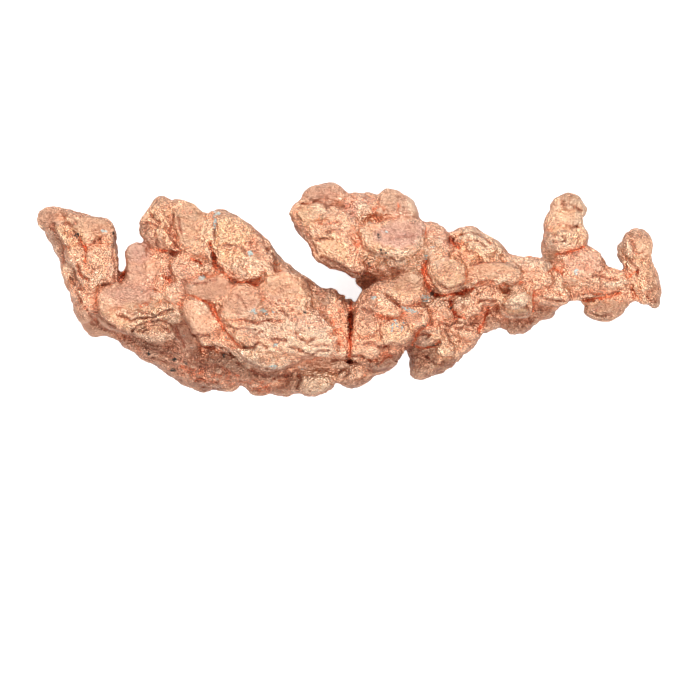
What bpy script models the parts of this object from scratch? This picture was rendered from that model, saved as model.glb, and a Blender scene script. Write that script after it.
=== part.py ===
"""Native copper nugget, 80 mm long: one solid of fused lobes, lying on the worn spots of its underside.

X runs along the nugget, from the horn to the forked tail. Y runs across it and Z is up. The origin is on
the resting surface, under the middle of the nugget. The tables are in millimetres, the model in metres.

Every lobe is a ball drawn out to an outline. The balls are melted into one skin, which is then creased
along its cracks and folds, and roughened into the knuckles of grown copper.
"""

import math

import bmesh
import bpy
import numpy as np
from mathutils import Matrix, Vector, noise

MM = 0.001

NODE_NAME = "nugget"
TRIANGLES = 9600  # of the finished solid
VOXEL = 0.30  # mm, the size of the cells that fuse the lobes
FILLET = 0.24  # mm, radius of the copper that fills the seams between lobes
SMOOTHING_PASSES = 2
SPHERE_DETAIL = 4  # subdivisions of the ball behind each lobe
BOXINESS = 2.9  # of the upper half of a lobe: 2 is elliptical, and more gives steeper sides
BOXINESS_BELOW = 2.1  # the same of its lower half
OUTLINE_STEPS = 10  # points between two points of an outline

DENT_SIZE, DENT_DEPTH = 2.6, 0.9  # mm, unevenness of the masses of the underside
SWELL_SIZE, SWELL_DEPTH = 2.7, 0.55  # mm, broad swellings of the fused surface
KNUCKLE_SIZE, KNUCKLE_DEPTH = 1.7, 0.60  # mm, rounded knuckles with creases between them
FLOOR = 0.0  # mm, where the underside is worn flat

COPPER_COLOUR = (0.80, 0.46, 0.33, 1.0)
COPPER_ROUGHNESS = 0.38

# Each lobe: the heights of its top, its widest level and its underside, then its outline from above.
HORN = {
    "horn_tip": (9.6, 8.3, 4.8, [(-40.15, 9.2), (-39.7, 10.2), (-38.7, 10.55), (-37.2, 10.65),
                                 (-35.6, 10.3), (-34.8, 9.2), (-35.6, 8.2), (-37.4, 7.4), (-38.8, 6.7),
                                 (-39.9, 7.9)]),
    "horn_head": (10.9, 9.5, 4.0, [(-36.3, 10.2), (-34.6, 9.8), (-32.6, 9.3), (-31.2, 9.0), (-30.5, 8.0),
                                   (-30.0, 6.3), (-31.0, 6.0), (-32.2, 6.2), (-33.6, 5.5), (-34.4, 5.9),
                                   (-35.0, 6.8), (-35.9, 7.9), (-36.6, 9.0)]),
    "horn_ear": (10.2, 9.2, 4.0, [(-38.0, 7.6), (-37.0, 8.2), (-36.0, 8.0), (-35.0, 6.8), (-34.5, 5.8),
                                  (-35.5, 5.5), (-36.7, 5.7), (-37.5, 6.5)]),
    "horn_throat": (11.5, 9.8, 3.4, [(-33.8, 5.3), (-32.4, 6.0), (-31.0, 6.1), (-30.0, 5.9), (-29.6, 4.6),
                                     (-29.3, 3.0), (-29.4, 1.5), (-30.4, 0.8), (-31.9, 1.0), (-32.9, 2.2),
                                     (-33.7, 3.6)]),
    "horn_cheek": (10.9, 9.7, 4.0, [(-36.3, 5.0), (-35.3, 5.5), (-34.2, 5.5), (-33.8, 4.2), (-33.9, 2.9),
                                    (-34.9, 2.6), (-35.9, 2.9), (-36.5, 3.9)]),
    "horn_oval": (11.0, 9.6, 3.6, [(-34.9, 2.5), (-34.0, 2.9), (-32.9, 2.5), (-32.0, 1.4), (-31.7, 0.5),
                                   (-33.0, 0.1), (-34.3, 0.7), (-35.0, 1.6)]),
    "horn_flank": (8.6, 6.4, 3.6, [(-39.6, 7.7), (-37.6, 7.4), (-36.2, 5.0), (-35.2, 2.0), (-35.0, -0.2),
                                   (-36.2, -0.3), (-36.8, 0.5), (-37.0, 1.7), (-37.45, 2.7), (-37.35, 3.7),
                                   (-37.9, 4.8), (-38.3, 5.8), (-39.0, 6.9)]),
    "horn_root": (10.4, 7.4, 2.6, [(-36.1, -0.4), (-35.2, 0.6), (-33.6, 0.6), (-32.4, -0.4), (-32.2, -2.0),
                                   (-32.9, -3.6), (-34.0, -4.6), (-35.1, -4.2), (-35.4, -2.9),
                                   (-35.8, -1.4)]),
    "horn_heel": (7.8, 5.2, 2.0, [(-35.2, -3.9), (-34.2, -3.0), (-32.0, -3.2), (-30.2, -4.6),
                                  (-29.2, -6.2), (-30.4, -6.35), (-31.6, -6.0), (-32.8, -6.05),
                                  (-33.8, -5.6), (-34.7, -4.8)]),
}

SHOULDER = {
    "shoulder": (12.3, 10.7, 3.0, [(-32.6, -2.0), (-32.0, -0.3), (-30.6, 0.6), (-29.2, 0.9), (-27.5, 0.9),
                                   (-25.5, 0.4), (-24.0, -0.7), (-24.4, -2.0), (-27.0, -2.3),
                                   (-30.0, -2.6), (-31.8, -3.0)]),
    "fold_lobe": (11.3, 9.6, 2.0, [(-32.5, -3.0), (-31.6, -2.2), (-29.0, -2.1), (-26.0, -1.9),
                                   (-23.0, -2.0), (-21.7, -3.2), (-21.8, -5.0), (-22.5, -6.6),
                                   (-24.2, -7.2), (-26.4, -6.9), (-28.2, -6.1), (-30.0, -5.3),
                                   (-31.6, -4.4)]),
    "fold_lip": (11.4, 10.7, 6.0, [(-28.0, -5.9), (-27.2, -4.9), (-25.4, -4.3), (-23.6, -4.6),
                                   (-22.4, -5.6), (-22.6, -6.5), (-24.2, -6.8), (-26.4, -6.6)]),
    "fold_plate": (11.3, 10.4, 6.0, [(-30.4, -3.9), (-29.2, -3.6), (-28.0, -4.2), (-27.4, -5.2),
                                     (-28.4, -5.8), (-29.8, -5.1)]),
    "knob": (12.7, 11.7, 6.0, [(-28.9, 4.2), (-28.7, 5.0), (-28.1, 5.6), (-27.3, 5.85), (-26.6, 5.6),
                               (-26.0, 5.0), (-26.0, 4.2), (-26.9, 3.8), (-28.0, 3.7)]),
    "knob_body": (12.3, 10.7, 3.0, [(-28.85, 3.4), (-28.7, 2.4), (-29.1, 1.2), (-28.2, 0.2), (-26.4, 0.0),
                                    (-24.8, 0.5), (-24.7, 2.0), (-25.2, 3.7), (-26.4, 3.9), (-28.0, 3.8)]),
    "saddle": (11.9, 10.5, 4.0, [(-26.3, 5.1), (-25.0, 5.1), (-23.2, 4.9), (-22.6, 4.2), (-22.9, 2.6),
                                 (-23.6, 1.4), (-24.8, 1.4), (-25.4, 3.2), (-26.3, 4.2)]),
    "centre_knob": (13.2, 12.0, 5.0, [(-23.0, 3.6), (-22.4, 4.4), (-21.6, 4.7), (-20.3, 4.1), (-19.2, 3.1),
                                      (-18.4, 2.1), (-18.9, 1.3), (-20.4, 1.2), (-21.6, 0.9),
                                      (-22.7, 1.6)]),
    "junction": (12.4, 11.2, 5.0, [(-24.0, 0.0), (-22.8, 1.0), (-20.9, 1.0), (-20.4, 0.0), (-20.7, -1.0),
                                   (-21.5, -2.1), (-22.8, -1.9), (-23.9, -1.1)]),
    "trough": (10.6, 7.6, 3.0, [(-23.4, -5.2), (-22.2, -3.2), (-20.8, -3.0), (-19.8, -4.8), (-18.8, -6.6),
                                (-19.6, -8.4), (-21.4, -8.6), (-22.8, -7.0)]),
}

FIST = {
    "fist": (13.3, 11.5, 5.4, [(-26.95, 8.6), (-26.6, 9.5), (-25.9, 10.3), (-25.3, 11.0), (-24.7, 11.5),
                               (-23.8, 11.5), (-22.8, 11.1), (-22.3, 9.4), (-22.3, 7.0), (-22.2, 5.2),
                               (-23.4, 4.9), (-24.8, 5.0), (-25.7, 5.7), (-26.6, 6.7), (-26.85, 7.8)]),
    "fist_brow": (13.5, 12.6, 8.0, [(-25.6, 10.2), (-24.8, 11.1), (-23.8, 11.2), (-22.9, 10.4),
                                    (-23.2, 9.2), (-24.2, 8.8), (-25.3, 9.2)]),
    "fist_palm": (13.4, 12.5, 8.0, [(-25.8, 8.6), (-24.8, 8.9), (-23.6, 8.2), (-23.0, 6.6), (-23.4, 5.6),
                                    (-24.6, 5.9), (-25.6, 7.0)]),
    "fist_back": (14.1, 12.2, 4.6, [(-22.9, 11.2), (-21.6, 11.3), (-20.5, 10.75), (-19.4, 10.3),
                                    (-18.6, 9.5), (-18.0, 7.8), (-17.9, 5.6), (-18.4, 4.3), (-19.6, 3.9),
                                    (-21.2, 4.6), (-22.0, 6.0), (-22.5, 8.4)]),
    "long_lobe_head": (13.5, 11.7, 5.0, [(-18.5, 9.2), (-18.1, 9.8), (-17.4, 10.05), (-16.6, 9.9),
                                         (-16.3, 8.4), (-16.8, 6.4), (-17.4, 4.6), (-17.9, 6.0),
                                         (-18.3, 7.8)]),
    "gap_lump": (12.6, 11.4, 6.0, [(-19.3, 3.0), (-18.5, 3.4), (-17.8, 3.6), (-17.4, 3.0), (-17.4, 2.2),
                                   (-18.0, 1.7), (-18.7, 2.0)]),
    "long_lobe": (14.4, 12.4, 4.4, [(-17.4, 9.6), (-16.4, 9.9), (-15.2, 9.5), (-13.6, 8.6), (-12.2, 7.6),
                                    (-12.0, 6.4), (-13.4, 5.4), (-15.6, 5.0), (-17.3, 5.2), (-17.5, 7.4)]),
    "long_lobe_left": (14.0, 12.5, 5.0, [(-17.3, 5.6), (-15.6, 5.9), (-13.4, 5.7), (-12.6, 4.2),
                                         (-12.7, 2.4), (-13.4, 1.4), (-14.6, 1.4), (-15.6, 2.2),
                                         (-17.0, 3.2)]),
    "long_lobe_foot": (13.6, 11.6, 4.4, [(-13.2, 6.4), (-12.2, 7.4), (-11.0, 6.7), (-9.9, 5.6),
                                         (-9.2, 4.2), (-9.6, 2.8), (-10.8, 1.9), (-12.4, 1.4),
                                         (-13.2, 2.8), (-13.2, 4.8)]),
    "shoulder_slope": (12.2, 8.8, 3.6, [(-10.6, 4.7), (-9.3, 4.2), (-8.0, 3.1), (-6.6, 2.1), (-5.0, 1.1),
                                        (-3.8, 0.1), (-4.8, -0.8), (-7.2, 0.0), (-9.8, 1.2),
                                        (-11.2, 2.8)]),
}

BELLY = {
    "belly_nose": (14.1, 13.0, 5.0, [(-20.9, 0.1), (-20.4, 1.0), (-19.4, 1.5), (-18.0, 1.4), (-16.8, 1.8),
                                     (-15.8, 1.5), (-15.1, 0.6), (-14.7, -0.6), (-15.4, -2.4),
                                     (-16.6, -2.9), (-17.7, -1.9), (-19.0, -1.3), (-20.4, -0.8)]),
    "belly_crown": (14.7, 13.4, 5.0, [(-15.7, -0.4), (-14.6, 0.4), (-13.2, 0.5), (-12.0, 0.1),
                                      (-11.1, -0.8), (-11.0, -2.4), (-12.2, -4.0), (-14.6, -4.3),
                                      (-16.2, -3.9), (-16.6, -2.2)]),
    "belly_cheek": (14.5, 12.9, 4.0, [(-11.4, 0.4), (-10.5, 1.4), (-9.0, 2.1), (-7.4, 2.1), (-5.8, 1.3),
                                      (-5.0, 0.0), (-4.8, -1.8), (-6.0, -3.2), (-8.4, -3.6), (-10.6, -3.2),
                                      (-11.5, -1.4)]),
    "belly": (14.5, 12.7, 3.0, [(-16.0, -5.0), (-14.8, -4.1), (-12.0, -3.6), (-9.0, -2.8), (-6.0, -2.4),
                                (-4.0, -2.8), (-2.7, -4.2), (-1.9, -5.8), (-1.6, -7.2), (-2.4, -8.5),
                                (-5.0, -8.8), (-8.0, -8.6), (-11.0, -8.2), (-13.2, -7.6), (-14.8, -6.6)]),
    "belly_lip": (13.3, 11.9, 3.0, [(-14.7, -8.0), (-13.4, -7.2), (-11.4, -7.2), (-9.2, -7.8),
                                    (-6.6, -8.2), (-6.2, -9.2), (-8.2, -10.2), (-10.4, -10.6),
                                    (-12.8, -9.6)]),
    "crack_bank": (12.4, 8.8, 2.4, [(-6.0, 1.5), (-4.6, 0.6), (-3.1, -0.1), (-2.2, -0.1), (-1.2, -0.9),
                                    (-0.2, -1.9), (0.0, -4.0), (0.0, -6.4), (-0.1, -8.8), (-1.6, -9.0),
                                    (-3.0, -7.0), (-4.0, -4.2), (-5.4, -1.6)]),
    "cracked_lobe": (13.4, 11.9, 4.0, [(-21.3, -2.6), (-20.8, -1.5), (-19.9, -1.0), (-18.6, -1.6),
                                       (-17.8, -2.3), (-17.2, -3.6), (-16.8, -5.0), (-17.4, -5.9),
                                       (-18.8, -6.0), (-20.0, -5.6), (-20.8, -4.7), (-21.3, -3.7)]),
    "cracked_foot": (12.5, 11.2, 4.0, [(-19.6, -6.2), (-18.2, -5.4), (-17.1, -4.4), (-16.2, -5.2),
                                       (-15.2, -6.4), (-14.2, -7.5), (-15.4, -8.0), (-17.2, -7.5),
                                       (-18.9, -7.2)]),
}

LOWER_FLANK = {
    "flank_left": (9.7, 5.6, 1.0, [(-30.2, -6.4), (-27.5, -5.8), (-24.0, -6.0), (-21.0, -5.4),
                                   (-18.6, -7.4), (-17.6, -9.8), (-18.6, -12.0), (-20.2, -12.7),
                                   (-21.7, -12.1), (-23.2, -11.2), (-24.8, -10.0), (-26.4, -9.2),
                                   (-28.2, -8.1)]),
    "flank_middle": (9.4, 5.8, 1.0, [(-20.6, -8.4), (-18.0, -6.8), (-14.6, -7.6), (-11.0, -9.0),
                                     (-7.4, -9.6), (-7.4, -11.4), (-10.4, -12.4), (-14.0, -12.3),
                                     (-17.4, -12.5), (-20.2, -11.8)]),
    "flank_step": (8.4, 6.4, 3.0, [(-25.2, -9.4), (-23.4, -8.4), (-20.8, -9.2), (-18.6, -10.6),
                                   (-16.2, -11.0), (-16.6, -12.2), (-19.4, -12.0), (-22.2, -11.5),
                                   (-24.2, -10.5)]),
    "bead_far_left": (6.6, 4.6, 2.2, [(-20.6, -12.6), (-19.8, -11.7), (-18.4, -11.3), (-17.3, -12.0),
                                      (-17.4, -12.95), (-18.6, -13.2), (-19.8, -13.1)]),
    "bead_left": (6.4, 4.4, 2.2, [(-17.6, -12.6), (-16.4, -11.6), (-15.0, -11.5), (-14.2, -12.2),
                                  (-14.7, -13.0), (-16.0, -13.2), (-17.3, -13.05)]),
    "bead_middle": (6.4, 4.4, 2.0, [(-13.9, -12.2), (-12.6, -11.5), (-11.0, -11.4), (-10.1, -12.4),
                                    (-10.4, -13.5), (-11.6, -13.55), (-12.5, -13.3)]),
    "bead_dark": (8.2, 5.4, 1.6, [(-10.6, -12.8), (-10.0, -11.6), (-8.8, -11.1), (-7.6, -11.2),
                                  (-7.0, -12.4), (-7.6, -13.6), (-8.9, -13.85), (-10.2, -13.7)]),
    "bead_notch": (9.0, 6.6, 3.0, [(-8.0, -11.6), (-7.2, -10.7), (-6.1, -10.9), (-6.0, -12.4),
                                   (-6.6, -13.35), (-7.8, -13.2)]),
    "bead_bright": (9.9, 6.6, 1.6, [(-6.7, -11.4), (-5.4, -10.4), (-3.4, -10.2), (-2.2, -10.9),
                                    (-2.1, -11.9), (-2.7, -12.9), (-3.8, -13.5), (-5.6, -13.65),
                                    (-6.6, -13.0)]),
    "bead_curl": (9.6, 6.4, 2.0, [(-2.1, -10.5), (-1.6, -9.4), (0.0, -9.2), (2.0, -9.4), (3.1, -10.5),
                                  (2.4, -11.8), (1.2, -12.55), (0.0, -12.8), (-1.0, -12.2),
                                  (-1.8, -11.7)]),
    "belly_undercut": (9.4, 6.4, 1.6, [(-9.0, -10.6), (-7.6, -9.2), (-5.0, -8.6), (-2.0, -8.6),
                                       (0.0, -9.2), (-1.2, -10.4), (-3.6, -10.8), (-6.4, -11.2)]),
}

CHEST = {
    "chest": (13.0, 10.9, 2.2, [(0.35, -2.6), (1.0, -1.2), (1.9, -0.2), (3.6, 0.2), (4.8, -0.9),
                                (4.7, -2.6), (3.9, -4.2), (3.8, -5.8), (2.6, -6.4), (1.2, -6.6),
                                (0.3, -6.2), (0.25, -4.2)]),
    "chest_lower": (12.4, 10.5, 2.2, [(0.3, -6.6), (1.6, -6.2), (3.2, -6.0), (4.1, -6.8), (4.0, -8.2),
                                      (2.8, -8.9), (1.4, -8.7), (0.3, -9.3)]),
    "collar": (13.7, 11.8, 4.0, [(2.2, 0.1), (4.0, 0.8), (5.8, 1.6), (7.4, 2.2), (8.7, 2.3), (9.3, 1.8),
                                 (9.7, 0.5), (9.9, -0.8), (9.0, -1.7), (7.6, -2.2), (6.0, -1.9),
                                 (4.8, -0.9), (3.2, -0.6)]),
    "breast": (13.4, 12.0, 5.0, [(2.6, -1.8), (3.4, -0.6), (4.8, -0.8), (6.2, -1.9), (6.7, -3.1),
                                 (5.6, -3.7), (4.2, -3.7), (2.9, -3.2)]),
    "cheek": (13.2, 11.5, 3.0, [(3.9, -4.4), (5.2, -3.9), (6.8, -3.9), (7.9, -4.6), (8.3, -5.8),
                                (7.9, -6.7), (7.0, -7.2), (5.4, -7.3), (4.2, -6.9), (3.7, -5.6)]),
    "cheek_knob": (12.7, 11.7, 5.0, [(6.8, -2.6), (8.2, -2.1), (9.7, -2.0), (10.3, -3.0), (10.2, -4.2),
                                     (9.3, -5.0), (8.4, -5.4), (7.8, -4.4), (7.0, -3.8)]),
    "jaw": (10.8, 7.6, 2.6, [(0.4, -8.6), (2.4, -7.8), (4.0, -6.8), (6.0, -6.7), (7.0, -7.3), (6.8, -8.4),
                             (6.4, -9.3), (5.7, -10.0), (4.6, -10.75), (3.2, -11.0), (2.2, -10.4),
                             (0.6, -9.6)]),
    "jaw_bead": (10.4, 9.4, 5.0, [(3.6, -9.9), (4.4, -9.0), (5.6, -8.2), (6.6, -8.3), (6.3, -9.3),
                                  (5.4, -10.1), (4.3, -10.6)]),
}

WING = {
    "wing": (13.9, 11.8, 6.0, [(-7.75, 9.6), (-7.4, 10.6), (-6.7, 11.3), (-5.4, 11.1), (-3.0, 10.9),
                               (-1.0, 10.3), (0.4, 9.4), (1.3, 8.0), (1.3, 6.4), (1.7, 4.4), (2.1, 2.6),
                               (1.2, 1.5), (0.4, 1.5), (-0.6, 1.95), (-2.2, 2.6), (-3.6, 3.2), (-4.4, 4.1),
                               (-4.75, 5.0), (-5.5, 5.9), (-6.4, 7.0), (-7.2, 8.3)]),
    "wing_corner": (14.3, 13.2, 7.0, [(-6.8, 9.2), (-6.2, 10.2), (-4.4, 10.9), (-3.0, 10.9), (-2.7, 9.7),
                                      (-3.8, 8.8), (-5.6, 8.3)]),
    "wing_plate": (14.2, 13.3, 8.0, [(-5.4, 7.6), (-4.0, 8.1), (-1.8, 8.3), (0.2, 7.8), (0.6, 6.0),
                                     (0.4, 4.2), (-1.6, 4.0), (-3.6, 4.9), (-4.8, 6.2)]),
    "wing_top": (12.9, 11.1, 6.2, [(-6.0, 11.0), (-5.7, 12.1), (-5.1, 12.9), (-4.0, 13.3), (-3.0, 13.55),
                                   (-1.9, 13.65), (-1.1, 13.2), (-0.5, 12.5), (0.1, 11.8), (-0.4, 10.6),
                                   (-2.6, 10.2), (-4.8, 10.4)]),
    "wing_bridge": (12.7, 10.8, 5.6, [(-0.3, 11.7), (0.5, 12.15), (1.5, 12.05), (2.3, 11.5), (2.9, 10.9),
                                      (2.8, 9.4), (2.2, 8.6), (0.8, 8.7), (-0.4, 9.8)]),
    "crown": (13.3, 11.3, 5.4, [(3.1, 11.2), (3.5, 12.1), (4.1, 12.4), (4.6, 12.85), (5.4, 12.85),
                                (6.3, 12.5), (7.3, 11.9), (8.2, 11.3), (8.7, 10.6), (9.0, 9.9), (9.3, 9.0),
                                (8.0, 8.4), (6.0, 8.3), (4.0, 8.6), (3.0, 9.6)]),
    "crown_right": (13.6, 12.6, 7.0, [(6.1, 10.6), (6.6, 11.5), (7.8, 11.2), (8.6, 10.2), (8.6, 9.2),
                                      (7.2, 9.0), (6.2, 9.4)]),
    "saddle_top": (15.2, 13.8, 6.0, [(1.4, 7.0), (1.9, 8.0), (3.6, 8.7), (6.0, 8.8), (8.6, 8.7),
                                     (9.7, 7.9), (9.8, 6.4), (9.3, 5.0), (8.0, 4.2), (6.2, 4.0),
                                     (4.2, 4.0), (2.6, 4.4), (1.7, 5.5)]),
    "saddle_under": (12.8, 11.4, 6.0, [(4.4, 3.6), (5.4, 4.4), (7.5, 4.6), (9.4, 4.4), (9.8, 3.4),
                                       (9.0, 2.6), (7.6, 2.5), (5.8, 2.4), (4.8, 2.7)]),
    "gap_roof": (12.2, 10.8, 7.0, [(1.4, 4.2), (2.6, 4.6), (4.4, 4.4), (5.8, 3.6), (5.6, 2.4), (4.4, 2.2),
                                   (3.6, 3.3), (2.4, 3.4), (1.4, 3.0)]),
    "gap_bead": (11.8, 11.0, 7.0, [(2.3, 2.8), (2.9, 3.3), (3.8, 3.1), (4.2, 2.4), (3.7, 1.9),
                                   (2.8, 1.8)]),
    "gap_ledge": (8.6, 6.6, 3.0, [(0.8, 1.5), (1.8, 2.0), (4.0, 2.4), (6.4, 2.2), (6.2, 0.6), (4.0, -0.2),
                                  (2.2, -0.1), (1.6, 0.3), (1.1, 0.9)]),
    "back_knob": (13.2, 11.5, 5.0, [(9.6, 8.7), (10.8, 8.5), (11.8, 8.2), (12.3, 7.8), (12.6, 6.6),
                                    (12.4, 5.4), (11.0, 4.7), (9.9, 5.2), (9.5, 6.6)]),
    "back_ridge": (12.4, 10.4, 4.4, [(12.7, 7.2), (13.6, 7.5), (14.7, 7.7), (16.0, 7.85), (17.1, 7.4),
                                     (18.1, 6.7), (19.1, 6.0), (20.0, 5.1), (20.1, 4.2), (18.0, 3.9),
                                     (15.6, 3.6), (13.8, 4.2), (12.8, 5.6)]),
    "back_fold": (12.9, 11.9, 6.0, [(14.4, 6.6), (15.6, 7.2), (17.0, 6.8), (18.4, 5.8), (19.2, 5.0),
                                    (18.0, 4.5), (16.2, 4.4), (14.6, 5.2)]),
    "back_saddle": (12.9, 11.5, 5.0, [(9.6, 4.6), (11.0, 5.2), (12.8, 5.6), (14.2, 4.8), (14.6, 3.8),
                                      (13.0, 3.4), (11.0, 3.4), (9.8, 3.8)]),
}

LOIN = {
    "round_knob": (14.4, 13.0, 5.0, [(10.1, 3.2), (10.9, 3.8), (12.4, 3.9), (13.9, 3.5), (14.8, 2.5),
                                     (15.0, 1.3), (14.5, 0.2), (13.4, -0.4), (12.0, -0.3), (10.9, 0.3),
                                     (10.2, 1.5)]),
    "bar_front": (13.1, 11.9, 4.4, [(15.0, 1.4), (15.6, 2.7), (17.2, 3.5), (19.4, 3.5), (21.2, 3.0),
                                    (22.0, 2.0), (21.6, 1.0), (20.0, 0.7), (18.0, 1.1), (16.2, 0.8)]),
    "bar_back": (11.6, 9.9, 4.2, [(16.0, 3.6), (18.0, 4.3), (20.3, 4.5), (22.3, 3.95), (24.0, 4.05),
                                  (25.3, 3.75), (26.4, 2.8), (25.6, 1.8), (23.4, 1.8), (21.0, 2.2),
                                  (18.0, 2.6)]),
    "bar_end": (11.9, 10.7, 4.4, [(21.6, 1.7), (23.0, 2.3), (25.0, 2.3), (25.9, 1.6), (25.6, 0.5),
                                  (24.2, -0.1), (22.8, 0.2), (21.7, 0.8)]),
    "loin_bead_left": (11.5, 10.4, 4.0, [(13.2, -1.4), (14.0, -0.4), (15.5, 0.0), (16.4, -0.8),
                                         (17.0, -2.2), (16.3, -3.4), (14.9, -3.6), (13.7, -2.9)]),
    "loin_bead_mid": (11.9, 10.7, 4.0, [(15.9, 0.0), (17.4, 0.8), (19.2, 0.5), (19.9, -0.5), (19.1, -1.7),
                                        (17.5, -2.0), (16.2, -1.3)]),
    "loin_pyramid": (11.8, 10.1, 3.6, [(19.8, -0.6), (21.6, 0.1), (23.2, -0.2), (23.5, -1.8), (23.2, -3.3),
                                       (21.6, -3.8), (19.9, -3.6), (19.2, -2.2)]),
    "pyramid_top": (12.2, 11.4, 7.0, [(20.4, -1.6), (21.4, -0.4), (22.7, -0.4), (23.0, -1.4),
                                      (21.8, -2.0)]),
    "loin_bead_right": (10.9, 9.6, 4.2, [(24.0, -0.5), (25.6, 0.4), (27.3, 0.3), (28.5, -0.5),
                                         (28.4, -1.5), (27.5, -2.1), (26.0, -2.2), (24.3, -1.8)]),
    "loin_skirt_right": (8.8, 6.4, 3.4, [(23.6, -1.8), (25.0, -1.4), (27.2, -2.0), (26.6, -2.9),
                                         (25.9, -3.7), (24.6, -4.3), (23.2, -4.9)]),
    "loin_skirt": (7.6, 5.4, 2.6, [(18.4, -3.8), (20.0, -3.2), (22.4, -3.2), (24.2, -3.6), (23.9, -4.6),
                                   (22.9, -5.3), (21.7, -5.65), (20.8, -5.75), (20.4, -5.4), (20.2, -5.0),
                                   (18.8, -5.0)]),
    "loin_web": (9.8, 7.0, 3.0, [(16.8, -3.2), (18.0, -2.4), (19.6, -2.6), (19.8, -3.9), (19.2, -4.9),
                                 (17.6, -5.6), (16.6, -5.4)]),
    "hollow_floor": (11.1, 9.7, 3.6, [(9.8, -1.0), (11.6, -0.8), (13.0, -1.1), (13.4, -2.4), (13.4, -3.8),
                                      (12.0, -4.2), (10.6, -4.1), (9.8, -2.8)]),
    "hollow_rim": (10.4, 8.9, 3.0, [(10.6, -4.3), (12.4, -4.0), (14.6, -3.7), (16.6, -4.0), (16.9, -5.4),
                                    (16.6, -6.4), (14.4, -6.2), (12.6, -5.8), (11.4, -5.2)]),
}

HIP = {
    "hip_knob": (11.3, 10.0, 3.0, [(8.6, -6.2), (9.1, -5.3), (10.3, -4.7), (11.8, -4.7), (12.5, -5.5),
                                   (12.0, -6.5), (10.9, -7.2), (9.5, -7.4), (8.8, -7.0)]),
    "hip_bead": (10.6, 9.3, 3.0, [(11.0, -7.7), (11.7, -6.7), (12.9, -6.6), (13.6, -7.3), (13.3, -8.3),
                                  (12.2, -8.7), (11.2, -8.3)]),
    "hip_side": (8.9, 6.2, 2.6, [(12.6, -6.0), (14.4, -5.7), (16.8, -5.9), (16.2, -6.8), (15.7, -7.6),
                                 (14.5, -8.6), (13.3, -9.4), (12.2, -7.8)]),
    "hip": (8.4, 5.0, 0.8, [(7.55, -7.3), (8.6, -6.6), (10.4, -7.0), (12.2, -7.8), (14.1, -8.7),
                            (13.4, -9.6), (12.3, -10.4), (10.6, -11.2), (9.1, -11.55), (8.2, -11.2),
                            (7.75, -10.4), (7.8, -9.4), (7.65, -8.3)]),
}

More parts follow.
